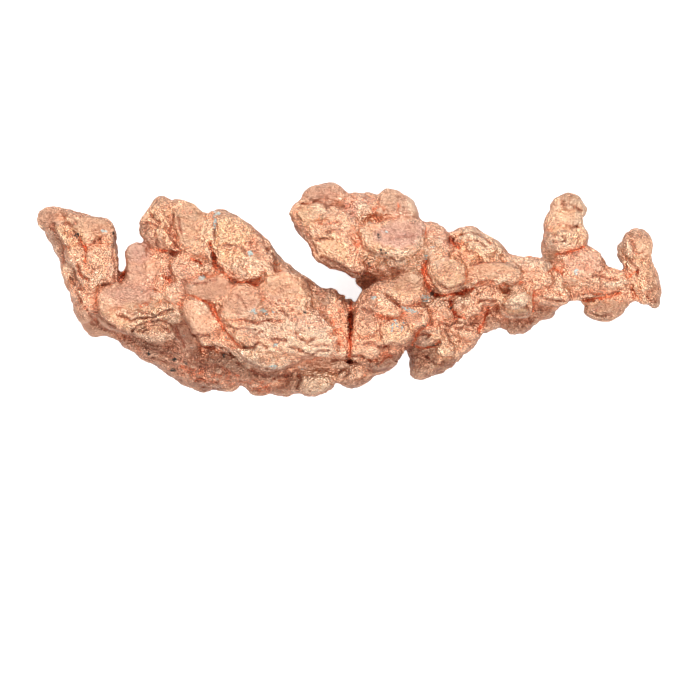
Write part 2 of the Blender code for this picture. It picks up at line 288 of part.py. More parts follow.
TAIL = {
    "finger": (10.2, 8.9, 5.4, [(25.05, 7.7), (25.15, 8.7), (25.5, 9.5), (25.8, 10.3), (26.05, 11.2),
                                (26.6, 11.8), (27.4, 12.15), (28.5, 12.3), (29.5, 12.0), (30.15, 11.4),
                                (30.5, 10.3), (30.2, 9.2), (30.0, 7.9), (28.4, 7.2), (26.6, 7.0)]),
    "finger_cap": (10.7, 9.8, 6.0, [(28.0, 11.2), (28.8, 11.7), (29.7, 11.4), (30.1, 10.7), (29.6, 10.2),
                                    (28.6, 10.5)]),
    "finger_knuckle": (11.0, 9.6, 4.8, [(25.0, 6.8), (25.5, 7.4), (27.0, 7.7), (28.6, 7.3), (29.2, 6.4),
                                        (29.2, 5.2), (28.0, 4.8), (26.6, 4.6), (25.5, 5.2)]),
    "finger_side": (10.3, 9.0, 4.8, [(28.4, 7.6), (29.8, 7.95), (30.5, 7.5), (30.7, 6.7), (30.4, 5.9),
                                     (29.6, 5.1), (28.8, 5.8)]),
    "finger_shadow": (9.0, 6.8, 4.2, [(24.7, 5.9), (25.5, 6.4), (26.6, 5.6), (27.2, 4.0), (26.4, 2.8),
                                      (25.6, 3.8), (25.0, 4.6)]),
    "finger_root": (10.3, 8.8, 4.0, [(26.4, 3.0), (26.8, 4.3), (28.2, 4.6), (30.0, 5.2), (30.8, 5.4),
                                     (31.5, 5.1), (32.1, 4.8), (32.6, 4.0), (32.9, 3.1), (31.8, 1.8),
                                     (30.2, 0.9), (28.4, 0.8), (27.2, 1.6)]),
    "stub": (10.6, 9.7, 5.0, [(25.5, 1.5), (25.9, 2.2), (26.7, 2.4), (27.3, 1.8), (27.2, 0.8), (26.3, 0.4),
                              (25.6, 0.7)]),
    "tail_web": (9.5, 8.1, 4.6, [(30.8, 2.2), (32.0, 3.2), (33.2, 3.0), (34.3, 2.6), (35.2, 2.2),
                                 (36.0, 1.4), (36.3, 0.3), (34.0, 0.2), (32.0, 0.0), (31.0, 0.8)]),
    "tail_bar": (9.0, 8.0, 4.8, [(26.2, 0.2), (28.0, 0.9), (31.0, 0.7), (33.8, 0.7), (36.6, 0.7),
                                 (36.6, -0.6), (34.4, -0.9), (31.6, -1.5), (29.0, -1.75), (27.0, -1.6)]),
    "tail_foot": (8.9, 7.5, 3.6, [(30.15, -2.5), (30.6, -1.7), (32.0, -1.2), (33.8, -1.0), (35.4, -0.3),
                                  (36.7, -0.4), (36.7, -1.3), (36.1, -2.5), (35.2, -3.0), (34.3, -3.6),
                                  (33.3, -4.1), (32.2, -4.2), (31.2, -3.7), (30.3, -3.1)]),
    "end_knob": (9.9, 8.6, 5.0, [(35.3, 5.4), (35.6, 6.6), (36.2, 7.3), (37.1, 7.7), (38.0, 7.4),
                                 (38.9, 6.6), (39.4, 5.4), (39.2, 4.4), (37.8, 3.9), (36.2, 4.2)]),
    "end_shadow": (8.2, 6.8, 4.8, [(34.4, 5.1), (34.9, 6.0), (35.8, 6.4), (36.4, 4.4), (36.8, 2.0),
                                   (36.1, 1.3), (35.6, 2.4), (34.8, 4.0)]),
    "end_stem": (9.4, 8.2, 4.8, [(35.9, 3.2), (36.5, 4.2), (38.0, 4.7), (39.15, 4.7), (39.3, 3.2),
                                 (39.6, 1.8), (39.75, 0.4), (38.0, -0.4), (36.4, -0.2), (36.2, 1.4)]),
    "end_foot": (8.5, 7.3, 3.8, [(36.3, 0.2), (38.0, 0.8), (39.6, 0.9), (40.1, 0.2), (40.25, -1.2),
                                 (40.1, -2.1), (39.5, -2.6), (38.8, -2.15), (38.0, -1.85), (37.0, -1.65),
                                 (36.4, -0.9)]),
}

LOBES = {**HORN, **SHOULDER, **FIST, **BELLY, **LOWER_FLANK, **CHEST, **WING, **LOIN, **HIP, **TAIL}

# Rounded masses inside and under the lobes: centre, half sizes, and heading of the longer side in degrees.
MASSES = {
    "left_core": ((-20.4, -2.0, 6.8), (10.6, 5.6, 4.9), -14),
    "belly_core": ((-8.4, -4.4, 7.2), (8.0, 5.0, 6.2), -10),
    "fist_core": ((-17.5, 5.0, 8.0), (7.2, 3.2, 4.2), -28),
    "gap_floor": ((-14.2, 1.6, 7.6), (4.4, 2.4, 4.4), -20),
    "crack_floor": ((0.2, -5.8, 5.4), (2.4, 4.0, 4.0), 0),
    "chest_core": ((5.4, -3.6, 7.2), (5.0, 3.6, 5.2), 40),
    "wing_core": ((3.5, 6.2, 9.2), (7.6, 3.6, 4.0), -8),
    "loin_core": ((13.4, 0.8, 7.2), (6.4, 4.4, 3.8), -4),
    "neck_core": ((8.8, 1.6, 7.8), (4.0, 4.4, 4.6), 60),
    "hip_core": ((11.6, -5.4, 6.2), (4.8, 2.6, 3.4), 32),
    "tail_core": ((22.4, -0.2, 6.8), (6.4, 2.6, 3.0), 4),
    "tail_neck": ((29.6, 1.2, 7.2), (4.6, 1.8, 2.3), 0),
    "horn_core": ((-33.4, 3.4, 7.2), (3.1, 6.2, 3.6), 14),
    "saddle_core": ((-25.4, 1.6, 7.6), (4.2, 3.2, 4.2), -10),
    "crown_core": ((2.4, 9.4, 8.4), (6.6, 2.6, 3.8), -6),
}

# The lumps that the nugget lies on reach just below the resting surface, and are worn flat there.
FEET = {
    "foot_left": ((-24.0, -3.6, 3.4), (5.2, 3.4, 3.75), -20),
    "foot_back": ((-14.6, 4.2, 4.0), (4.6, 2.8, 4.35), -30),
    "foot_front": ((-9.4, -7.4, 3.6), (5.4, 3.2, 3.95), 6),
    "foot_chest": ((4.8, -4.8, 3.6), (4.4, 3.2, 3.95), 35),
    "foot_wing": ((7.4, 5.6, 4.6), (4.4, 2.9, 4.95), -12),
    "foot_tail": ((20.4, -1.2, 3.4), (4.4, 2.4, 3.72), 8),
}

# Smaller lumps of the underside, between the feet.
UNDER_LUMPS = {
    "under_horn": ((-34.6, 4.4, 4.9), (2.0, 3.0, 2.2), 16),
    "under_horn_tip": ((-37.8, 8.4, 5.6), (1.8, 1.4, 1.7), -30),
    "under_heel": ((-32.6, -2.2, 3.4), (2.2, 2.4, 2.4), 30),
    "under_saddle": ((-27.0, 2.2, 4.0), (2.0, 2.2, 2.4), -10),
    "under_centre": ((-21.8, 2.0, 3.4), (2.6, 2.2, 2.4), 30),
    "under_fist": ((-22.8, 7.8, 6.0), (3.2, 2.6, 2.8), 20),
    "under_long": ((-12.6, -1.2, 3.2), (3.2, 2.2, 2.8), 70),
    "under_belly": ((-18.4, -8.6, 3.0), (3.2, 2.4, 2.2), -24),
    "under_trough": ((-18.0, -3.2, 3.0), (2.4, 2.0, 2.6), 20),
    "under_bead": ((-4.6, -11.2, 3.6), (2.6, 1.6, 2.4), 0),
    "under_side": ((-3.0, -4.2, 3.6), (2.4, 3.4, 2.8), 10),
    "under_shoulder": ((-6.8, -0.6, 4.0), (3.0, 2.0, 2.6), -24),
    "under_collar": ((5.8, 0.0, 4.2), (2.6, 1.6, 2.4), 25),
    "under_curl": ((0.8, -10.4, 4.2), (2.2, 1.6, 2.2), 20),
    "under_wing": ((-4.4, 8.6, 7.0), (2.2, 2.2, 2.0), -34),
    "under_wing_root": ((-0.6, 5.8, 6.8), (2.8, 2.2, 2.2), -34),
    "under_crown": ((4.6, 10.2, 6.8), (2.6, 1.8, 2.2), -10),
    "under_loin": ((12.4, 1.6, 4.2), (2.6, 2.4, 2.6), 20),
    "under_ridge": ((15.6, 5.2, 5.8), (3.2, 1.7, 2.2), -20),
    "under_hip": ((12.6, -6.8, 3.6), (2.8, 2.0, 2.4), 40),
    "under_bar": ((23.4, 2.2, 5.0), (2.4, 1.5, 1.6), 0),
    "under_finger": ((28.2, 5.4, 5.6), (1.8, 3.2, 1.8), 6),
    "under_tail": ((32.4, -0.2, 5.0), (2.8, 1.6, 1.6), -8),
    "under_end": ((37.9, 2.4, 5.2), (1.3, 3.2, 1.6), -6),
}

# Cracks and folds in the upper side: depth, half width, then the points along them.
CREASES = {
    "main_crack": (2.6, 0.32, [(0.2, -1.8), (0.12, -3.5), (0.1, -5.5), (0.05, -7.5), (0.05, -9.4)]),
    "belly_crack": (1.3, 0.27, [(-20.9, -0.9), (-20.0, -0.9), (-18.4, -1.7), (-17.7, -2.2), (-17.0, -3.5),
                                (-16.1, -5.2), (-15.0, -6.4), (-14.0, -7.4)]),
    "shoulder_gap": (1.8, 0.32, [(-17.8, 5.9), (-17.4, 4.2), (-17.1, 2.5), (-15.9, 1.9), (-14.9, 0.8),
                                 (-13.2, 0.8), (-11.8, 0.3)]),
    "fist_gap": (1.6, 0.30, [(-20.2, 3.9), (-19.0, 3.2)]),
    "fist_hollow": (0.8, 0.26, [(-24.8, 4.9), (-23.4, 4.8), (-22.2, 4.6)]),
    "fist_fold": (0.7, 0.30, [(-22.7, 9.5), (-22.5, 7.6), (-22.1, 5.4)]),
    "fist_wrinkle": (0.5, 0.22, [(-25.4, 9.5), (-24.4, 8.4), (-23.4, 7.4)]),
    "saddle_pit": (0.9, 0.30, [(-23.8, 1.7), (-22.5, 0.8)]),
    "shoulder_fold": (0.6, 0.26, [(-30.2, 0.5), (-31.6, 0.4), (-32.5, -0.8), (-32.6, -2.2)]),
    "shoulder_slit": (0.5, 0.21, [(-27.6, -2.4), (-26.0, -2.1)]),
    "fold_upper": (0.5, 0.22, [(-29.4, -3.6), (-28.0, -4.0), (-26.4, -3.9), (-24.6, -3.6)]),
    "horn_crack": (0.8, 0.24, [(-35.0, 6.9), (-34.3, 5.8), (-33.8, 4.9), (-33.8, 3.4)]),
    "horn_branch": (0.6, 0.22, [(-33.8, 5.3), (-33.0, 5.8), (-32.0, 6.4)]),
    "horn_curl": (0.6, 0.26, [(-35.0, 3.0), (-34.6, 1.8), (-33.7, 1.0)]),
    "horn_ledge": (0.5, 0.26, [(-38.2, 8.5), (-36.6, 8.5), (-35.6, 8.1), (-35.0, 8.5)]),
    "belly_ledge": (0.6, 0.24, [(-15.9, -4.0), (-14.0, -4.1), (-12.0, -4.3), (-10.0, -4.0), (-8.6, -4.2)]),
    "belly_fold": (0.6, 0.26, [(-15.0, -7.6), (-13.4, -7.6), (-12.0, -7.5), (-11.6, -6.8)]),
    "belly_pocket": (0.5, 0.26, [(-10.2, -8.2), (-9.2, -8.5), (-8.0, -8.3)]),
    "belly_dimple": (0.4, 0.30, [(-9.9, -6.6), (-8.2, -6.5)]),
    "cheek_crease": (0.5, 0.26, [(-11.4, -0.6), (-11.0, -1.4), (-11.6, -2.4)]),
    "chest_fold": (0.5, 0.26, [(0.9, -6.2), (1.8, -6.5), (3.0, -6.0)]),
    "chest_ledge": (0.6, 0.22, [(0.4, -8.7), (1.4, -8.5), (2.6, -9.2), (3.4, -9.3)]),
    "jaw_slit": (0.7, 0.22, [(3.7, -9.9), (4.4, -9.1), (5.4, -8.6)]),
    "breast_fold": (0.6, 0.26, [(3.2, -3.4), (4.4, -3.8), (5.8, -3.8), (7.0, -3.4)]),
    "collar_fold": (0.6, 0.26, [(4.8, -0.8), (5.6, -1.7), (6.6, -2.3), (8.2, -2.2), (9.4, -1.7)]),
    "neck_gap": (1.5, 0.32, [(9.9, 3.6), (9.4, 2.4), (9.8, 1.0), (10.3, -0.2), (11.0, -0.7), (12.5, -0.8),
                             (14.0, -0.6), (15.8, 0.0)]),
    "neck_pit": (0.9, 0.30, [(10.4, -0.3), (11.0, -0.7)]),
    "hollow_slot": (1.0, 0.26, [(12.9, -1.4), (13.1, -2.6), (13.7, -3.4), (14.8, -3.8)]),
    "hip_gap": (1.6, 0.30, [(10.2, -4.5), (9.0, -5.3), (8.5, -6.2), (8.1, -7.2)]),
    "hip_fold": (1.2, 0.26, [(8.6, -7.4), (9.8, -7.6), (10.9, -7.4), (11.5, -6.8)]),
    "loin_slot": (1.3, 0.26, [(18.0, -2.3), (17.4, -3.8), (16.7, -5.5)]),
    "skirt_slot": (1.2, 0.21, [(23.6, -0.7), (23.65, -2.9)]),
    "bar_fold": (0.8, 0.22, [(16.0, 0.9), (17.5, 1.1), (19.4, 0.7), (20.6, 0.4), (21.8, 0.8),
                             (23.2, 0.7)]),
    "knob_slit": (0.7, 0.21, [(14.9, 2.6), (14.8, 0.6)]),
    "back_slit": (0.9, 0.24, [(12.9, 6.4), (13.4, 5.6), (14.0, 5.2)]),
    "saddle_slit": (1.0, 0.20, [(9.8, 7.7), (9.75, 6.7)]),
    "saddle_edge": (0.6, 0.24, [(2.7, 8.6), (1.6, 8.0), (1.1, 7.0), (1.3, 5.6), (2.0, 4.5)]),
    "crown_slit": (0.6, 0.21, [(6.2, 11.0), (6.1, 9.6)]),
    "crown_edge": (0.6, 0.26, [(2.8, 11.2), (3.0, 10.0), (3.2, 8.9), (5.0, 8.8), (8.6, 8.8)]),
    "wing_fold": (0.6, 0.26, [(-4.2, 8.4), (-3.0, 8.2), (-1.6, 8.5), (-0.6, 8.0)]),
    "wing_crease": (0.5, 0.26, [(-6.0, 10.8), (-4.4, 11.1), (-3.0, 10.8), (-1.6, 11.0), (-0.4, 10.2)]),
    "wing_line": (0.3, 0.22, [(-4.4, 6.2), (-3.0, 6.4), (-1.6, 6.1)]),
    "knuckle_gap": (1.3, 0.27, [(26.6, 4.4), (28.3, 4.7), (30.2, 5.4)]),
    "knuckle_ring": (0.4, 0.21, [(25.7, 6.3), (26.6, 5.9), (27.7, 6.2), (27.4, 7.0)]),
    "finger_fold": (0.6, 0.22, [(27.2, 11.1), (27.4, 10.6), (28.4, 10.7), (29.9, 10.1)]),
    "finger_waist": (0.5, 0.26, [(25.4, 7.7), (27.6, 8.0), (28.8, 8.0), (30.0, 7.9)]),
    "stub_arch": (0.8, 0.22, [(25.5, 2.1), (26.2, 2.6), (27.0, 2.3), (27.4, 1.7)]),
    "tail_split": (1.2, 0.22, [(30.1, -1.6), (31.4, -1.3), (33.2, -1.1), (34.2, -0.9), (34.9, -0.5)]),
    "tail_groove": (0.5, 0.19, [(29.0, 0.2), (31.0, 0.2), (33.4, 0.3), (35.4, 0.9)]),
    "end_gap": (0.8, 0.22, [(36.1, 1.6), (36.6, 2.2), (37.2, 2.2)]),
    "end_fold": (0.6, 0.26, [(36.2, 6.2), (36.4, 5.2), (37.0, 4.6), (38.2, 4.8)]),
    "end_slit": (0.7, 0.22, [(36.3, 0.2), (36.8, -0.8), (37.3, -1.3)]),
}


def clear_scene():
    for old in list(bpy.data.objects):
        bpy.data.objects.remove(old)


def smooth_outline(points):
    """The closed Catmull-Rom curve through the points of an outline."""
    corners = np.array(points)
    before, after = np.roll(corners, 1, axis=0), np.roll(corners, -1, axis=0)
    beyond = np.roll(corners, -2, axis=0)
    curve = []
    for t in np.linspace(0.0, 1.0, OUTLINE_STEPS, endpoint=False):
        curve.append(0.5 * (2 * corners + (after - before) * t
                            + (2 * before - 5 * corners + 4 * after - beyond) * t ** 2
                            + (3 * corners - before - 3 * after + beyond) * t ** 3))
    return np.stack(curve, axis=1).reshape(-1, 2)


def middle_of(curve):
    """The centre of the area inside a closed curve."""
    following = np.roll(curve, -1, axis=0)
    cross = curve[:, 0] * following[:, 1] - following[:, 0] * curve[:, 1]
    return ((curve + following) * cross[:, None]).sum(axis=0) / (3 * cross.sum())


def ball(detail):
    """The points and faces of a unit ball."""
    mesh = bmesh.new()
    bmesh.ops.create_icosphere(mesh, subdivisions=detail, radius=1.0)
    points = np.array([vertex.co for vertex in mesh.verts])
    faces = [[vertex.index for vertex in face.verts] for face in mesh.faces]
    mesh.free()
    return points, faces


def lobe_points(unit, top, waist, base, outline):
    """A ball whose widest level follows the outline, with a rounded top and underside."""
    curve = smooth_outline(outline)
    middle = middle_of(curve)
    spokes = curve - middle
    azimuths = np.arctan2(spokes[:, 1], spokes[:, 0])
    azimuth = np.arctan2(unit[:, 1], unit[:, 0])
    reach = np.interp(azimuth, azimuths, np.hypot(*spokes.T), period=2 * math.pi)
    power = 2 / np.where(unit[:, 2] > 0, BOXINESS, BOXINESS_BELOW)
    across = np.hypot(unit[:, 0], unit[:, 1]) ** power
    up = np.abs(unit[:, 2]) ** power
    height = np.where(unit[:, 2] > 0, waist + (top - waist) * up, waist - (waist - base) * up)
    return np.stack([middle[0] + reach * across * np.cos(azimuth),
                     middle[1] + reach * across * np.sin(azimuth), height], axis=1)


def mass_points(unit, centre, half_sizes, heading):
    """An uneven ellipsoid, turned about the vertical."""
    turn = np.array(Matrix.Rotation(math.radians(heading), 3, "Z"))
    points = (unit * np.array(half_sizes)) @ turn.T + np.array(centre)
    dents = [noise.noise(Vector(point) / DENT_SIZE) * DENT_DEPTH for point in points]
    return points + unit * np.array(dents)[:, None]


def overlapping_lobes():
    """One mesh of closed balls that overlap, in metres."""
    unit, faces = ball(SPHERE_DETAIL)
    shapes = [lobe_points(unit, *lobe) for lobe in LOBES.values()]
    for table in (MASSES, FEET, UNDER_LUMPS):
        shapes += [mass_points(unit, *mass) for mass in table.values()]
    all_faces = [[corner + len(unit) * number for corner in face]
                 for number in range(len(shapes)) for face in faces]
    mesh = bpy.data.meshes.new("overlapping_lobes")
    mesh.from_pydata(np.concatenate(shapes) * MM, [], all_faces)
    return mesh


def evaluated_mesh(obj):
    """The object's mesh with its modifiers applied."""
    graph = bpy.context.evaluated_depsgraph_get()
    return bpy.data.meshes.new_from_object(obj.evaluated_get(graph))


def apply_modifiers(obj):
    mesh = evaluated_mesh(obj)
    obj.modifiers.clear()
    obj.data = mesh


def add_remesh(obj, voxel):
    remesh = obj.modifiers.new("remesh", "REMESH")
    remesh.mode = "VOXEL"
    remesh.voxel_size = voxel * MM


def add_offset(obj, distance):
    """Moves the skin out along its normals, or in if the distance is negative."""
    offset = obj.modifiers.new("offset", "DISPLACE")
    offset.mid_level = 0.0
    offset.strength = distance * MM


def fuse(obj, voxel):
    """Melts overlapping balls into one skin, fills the narrowest gaps between them and eases it all."""
    add_remesh(obj, voxel)
    add_offset(obj, FILLET)
    add_remesh(obj, voxel)
    add_offset(obj, -FILLET)
    add_remesh(obj, voxel)
    smooth = obj.modifiers.new("ease", "SMOOTH")
    smooth.factor = 0.5
    smooth.iterations = SMOOTHING_PASSES
    apply_modifiers(obj)


def keep_outer_skin(obj):
    """Removes the walls of bubbles closed off between the lobes: all but the largest shell."""
    mesh = bmesh.new()
    mesh.from_mesh(obj.data)
    mesh.verts.ensure_lookup_table()
    seen, shells = set(), []
    for start in mesh.verts:
        if start.index in seen:
            continue
        shell, edge_of_shell = {start.index}, [start]
        while edge_of_shell:
            vertex = edge_of_shell.pop()
            for edge in vertex.link_edges:
                other = edge.other_vert(vertex)
                if other.index not in shell:
                    shell.add(other.index)
                    edge_of_shell.append(other)
        seen |= shell
        shells.append(shell)
    largest = max(shells, key=len)
    inner = [vertex for vertex in mesh.verts if vertex.index not in largest]
    bmesh.ops.delete(mesh, geom=inner, context="VERTS")
    mesh.to_mesh(obj.data)
    mesh.free()


def relief(point):
    """How far the surface stands out at a point, in millimetres: broad swellings and rounded knuckles."""
    swell = noise.noise(point / SWELL_SIZE)
    near, second = noise.voronoi(point / KNUCKLE_SIZE)[0][:2]
    return SWELL_DEPTH * swell + KNUCKLE_DEPTH * (min(second - near, 0.5) - 0.34)


def roughen(obj):
    """Moves the surface in and out along its normals by the relief."""
    normals = [vertex.normal.copy() for vertex in obj.data.vertices]
    for vertex, normal in zip(obj.data.vertices, normals):
        vertex.co += normal * relief(vertex.co / MM) * MM


def distance_to_line(points, line):
    """How far each point is from a bent line, all in one plane."""
    nearest = np.full(len(points), np.inf)
    for start, end in zip(np.array(line[:-1]), np.array(line[1:])):
        along = end - start
        share = np.clip((points - start) @ along / (along @ along), 0.0, 1.0)
        gap = points - start - share[:, None] * along
        nearest = np.minimum(nearest, np.hypot(gap[:, 0], gap[:, 1]))
    return nearest


def crease(obj):
    """Sinks the cracks and folds into the surfaces that face up."""
    count = len(obj.data.vertices)
    points, normals = np.empty(count * 3, np.float32), np.empty(count * 3, np.float32)
    obj.data.vertices.foreach_get("co", points)
    obj.data.vertices.foreach_get("normal", normals)
    points = points.reshape(-1, 3)
    upward = np.clip(normals.reshape(-1, 3)[:, 2] * 1.6, 0.0, 1.0)
    depth = np.zeros(count)
    for deepest, half_width, line in CREASES.values():
        away = distance_to_line(points[:, :2] / MM, line) / half_width
        depth = np.maximum(depth, deepest * np.exp(-away ** 2))
    points[:, 2] -= depth * upward * MM
    obj.data.vertices.foreach_set("co", points.ravel())
    obj.data.update()


def thin_out(obj, triangles):
    """Brings the skin down to the number of triangles, keeping them small where it bends."""
    obj.data.calc_loop_triangles()
    decimate = obj.modifiers.new("thin out", "DECIMATE")
    decimate.ratio = triangles / len(obj.data.loop_triangles)
    apply_modifiers(obj)


def wear_flat(obj, floor):
    """Cuts off what reaches below the resting surface, and closes the cuts with flat faces."""
    mesh = bmesh.new()
    mesh.from_mesh(obj.data)
    everything = mesh.verts[:] + mesh.edges[:] + mesh.faces[:]
    bmesh.ops.bisect_plane(mesh, geom=everything, plane_co=Vector((0, 0, floor * MM)),
                           plane_no=Vector((0, 0, 1)), clear_inner=True)
    open_edges = [edge for edge in mesh.edges if edge.is_boundary]
    bmesh.ops.holes_fill(mesh, edges=open_edges, sides=0)
    bmesh.ops.triangulate(mesh, faces=mesh.faces[:])
    bmesh.ops.recalc_face_normals(mesh, faces=mesh.faces[:])
    mesh.to_mesh(obj.data)
    mesh.free()


def copper():
    material = bpy.data.materials.new("native_copper")
    material.use_nodes = True
    shader = material.node_tree.nodes["Principled BSDF"]
    shader.inputs["Base Color"].default_value = COPPER_COLOUR
    shader.inputs["Metallic"].default_value = 1.0
    shader.inputs["Roughness"].default_value = COPPER_ROUGHNESS
    return material


def build_nugget():
    collection = bpy.data.collections.new("native_copper_nugget")
    bpy.context.scene.collection.children.link(collection)
    nugget = bpy.data.objects.new(NODE_NAME, overlapping_lobes())
    collection.objects.link(nugget)
    fuse(nugget, VOXEL)
    keep_outer_skin(nugget)
    crease(nugget)
    roughen(nugget)
    thin_out(nugget, TRIANGLES)
    wear_flat(nugget, FLOOR)
    nugget.data.shade_smooth()
    nugget.data.materials.append(copper())
    return nugget


def main():
    clear_scene()
    build_nugget()


if __name__ == "__main__":
    main()
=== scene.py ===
"""Native copper nugget: its finely creased and grained skin, its finish with painted shade, glow and
highlights, and a plain studio to see it in.

The tables are in millimetres and repeat the lobes of the solid, which the skin is melted from again on a
finer grid. X runs along the nugget, from the horn to the forked tail, and Z is up.
"""

import math

import bmesh
import bpy
import numpy as np
from mathutils import Matrix, Vector, noise


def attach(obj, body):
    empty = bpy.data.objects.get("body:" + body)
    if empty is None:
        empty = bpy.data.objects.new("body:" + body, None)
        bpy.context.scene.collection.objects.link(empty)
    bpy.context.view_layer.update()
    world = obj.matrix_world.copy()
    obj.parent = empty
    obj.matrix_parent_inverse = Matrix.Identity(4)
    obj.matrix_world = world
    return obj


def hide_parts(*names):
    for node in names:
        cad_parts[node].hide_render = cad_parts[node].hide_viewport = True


bl_info = {
    "name": "Native Copper Nugget",
    "version": (1, 0, 0),
    "blender": (4, 5, 0),
    "location": "View3D > Sidebar > Nugget",
    "description": "A creased, satin copper nugget of fused lobes on a pale studio floor",
    "category": "Add Mesh",
}

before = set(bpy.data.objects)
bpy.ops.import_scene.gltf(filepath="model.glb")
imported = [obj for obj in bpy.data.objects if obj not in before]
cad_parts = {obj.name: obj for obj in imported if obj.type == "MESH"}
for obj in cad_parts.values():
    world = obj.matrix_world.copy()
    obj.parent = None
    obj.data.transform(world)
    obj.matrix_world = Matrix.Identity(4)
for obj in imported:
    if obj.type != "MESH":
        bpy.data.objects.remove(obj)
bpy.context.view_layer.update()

MM = 0.001
NODE_NAME = "nugget"
SKIN_NAME = "nugget_skin"
MATERIAL_SLOT = "native_copper"

# The form, in millimetres.
SPHERE_DETAIL = 4  # subdivisions of the ball behind each lobe
BOXINESS = 3.8  # of the upper half of a lobe: 2 is elliptical, and more gives steeper sides
BOXINESS_BELOW = 2.1  # the same of its lower half
OUTLINE_STEPS = 10  # points between two points of an outline
SMOOTHING_PASSES = 2
DENT_SIZE, DENT_DEPTH = 2.6, 0.9  # unevenness of the rounded masses
SWELL_SIZE, SWELL_DEPTH = 2.7, 0.45  # broad swellings of the fused surface
KNUCKLE_SIZE, KNUCKLE_DEPTH = 1.7, 0.12  # rounded knuckles with creases between them
KNUCKLE_LIMIT, KNUCKLE_MEAN = 0.5, 0.34  # where a knuckle's crest is cut off, and its mean height
LUMP_LIMIT, LUMP_MEAN = 0.40, 0.16  # the same of a fold, dimple or grain
SWAY_SIZE, LINE_SWAY = 0.9, 0.16  # length of a drawn line's waves, and how far it wanders to either side
UP_GAIN = 1.6  # a line cuts to its full depth where the normal's Z is more than 1 / 1.6
GRAIN_HEADINGS = (-12, 72)  # degrees, the ways that folds and grain run: along the nugget, and across it
BEAD_SCALES = (0.45, 1.35)  # of the smallest and the largest bead, to the bead radius
THINNING = ((0.6, -2.0, -0.1), (0.4, -0.1, 0.25), (0.12, 0.25, 2.0))  # weight, for normals' Z from and up to
WORN_SMOOTH = 0.75  # share of the fine relief that wear takes away
PATCH_WAVES = ((0.8, 0.35), (2.2, 0.30))  # size in millimetres and strength of the waves in a patch's edge
PATCH_EDGE, PATCH_FADE = 1.25, 0.5  # where a patch ends, and the width over which it fades, in half sizes

# How the finish, with its painted shade, glow and highlights, follows the form, in millimetres.
EASING_PASSES = 14  # more passes find wider hollows and peaks
HOLLOW_DEPTH, PEAK_HEIGHT = 0.22, 0.16  # scale of the hollows that take painted shade and glow, and of the peaks that take a paler colour, partly painted highlight
CRACK_WIDTH, WRINKLE_WIDTH = 0.55, 1.1  # of the painted shade and glow along a line, as shares of the line's own width
FAINT_CRACK, FAINT_WRINKLE = 0.3, -0.6  # depth of a line at which its painted shade and glow begin
LINE_SHADE_RISE = 0.7  # how much deeper the line is where its painted shade and glow are strongest

# The grain of the finish, in metres.
MOTTLE_SIZE, CLOUD_SIZE, GRIT_SIZE = 0.0009, 0.0030, 0.00028
LUMP_SIZE, LUMP_SWAY = 0.00060, 0.00030  # rounded lumps, and how far they are pushed out of their places
DRAWN_OUT = (0.8, 1.15, 1.0)  # the grain is longer along the nugget than across it

# The studio, in metres.
FLOOR_WIDTH, FLOOR_LEVEL = 4.0, -0.00002
LIGHT_WIDTH = 0.45
KEY_PLACE = (-0.20, 0.62, 0.60)
FILL_PLACE = (0.25, -0.60, 0.55)
CAMERA_PLACE = (0.00006, -0.00787)
NUGGET_LEVEL = 0.008  # height at which the picture is as wide as stated
SENSOR_WIDTH = 36.0

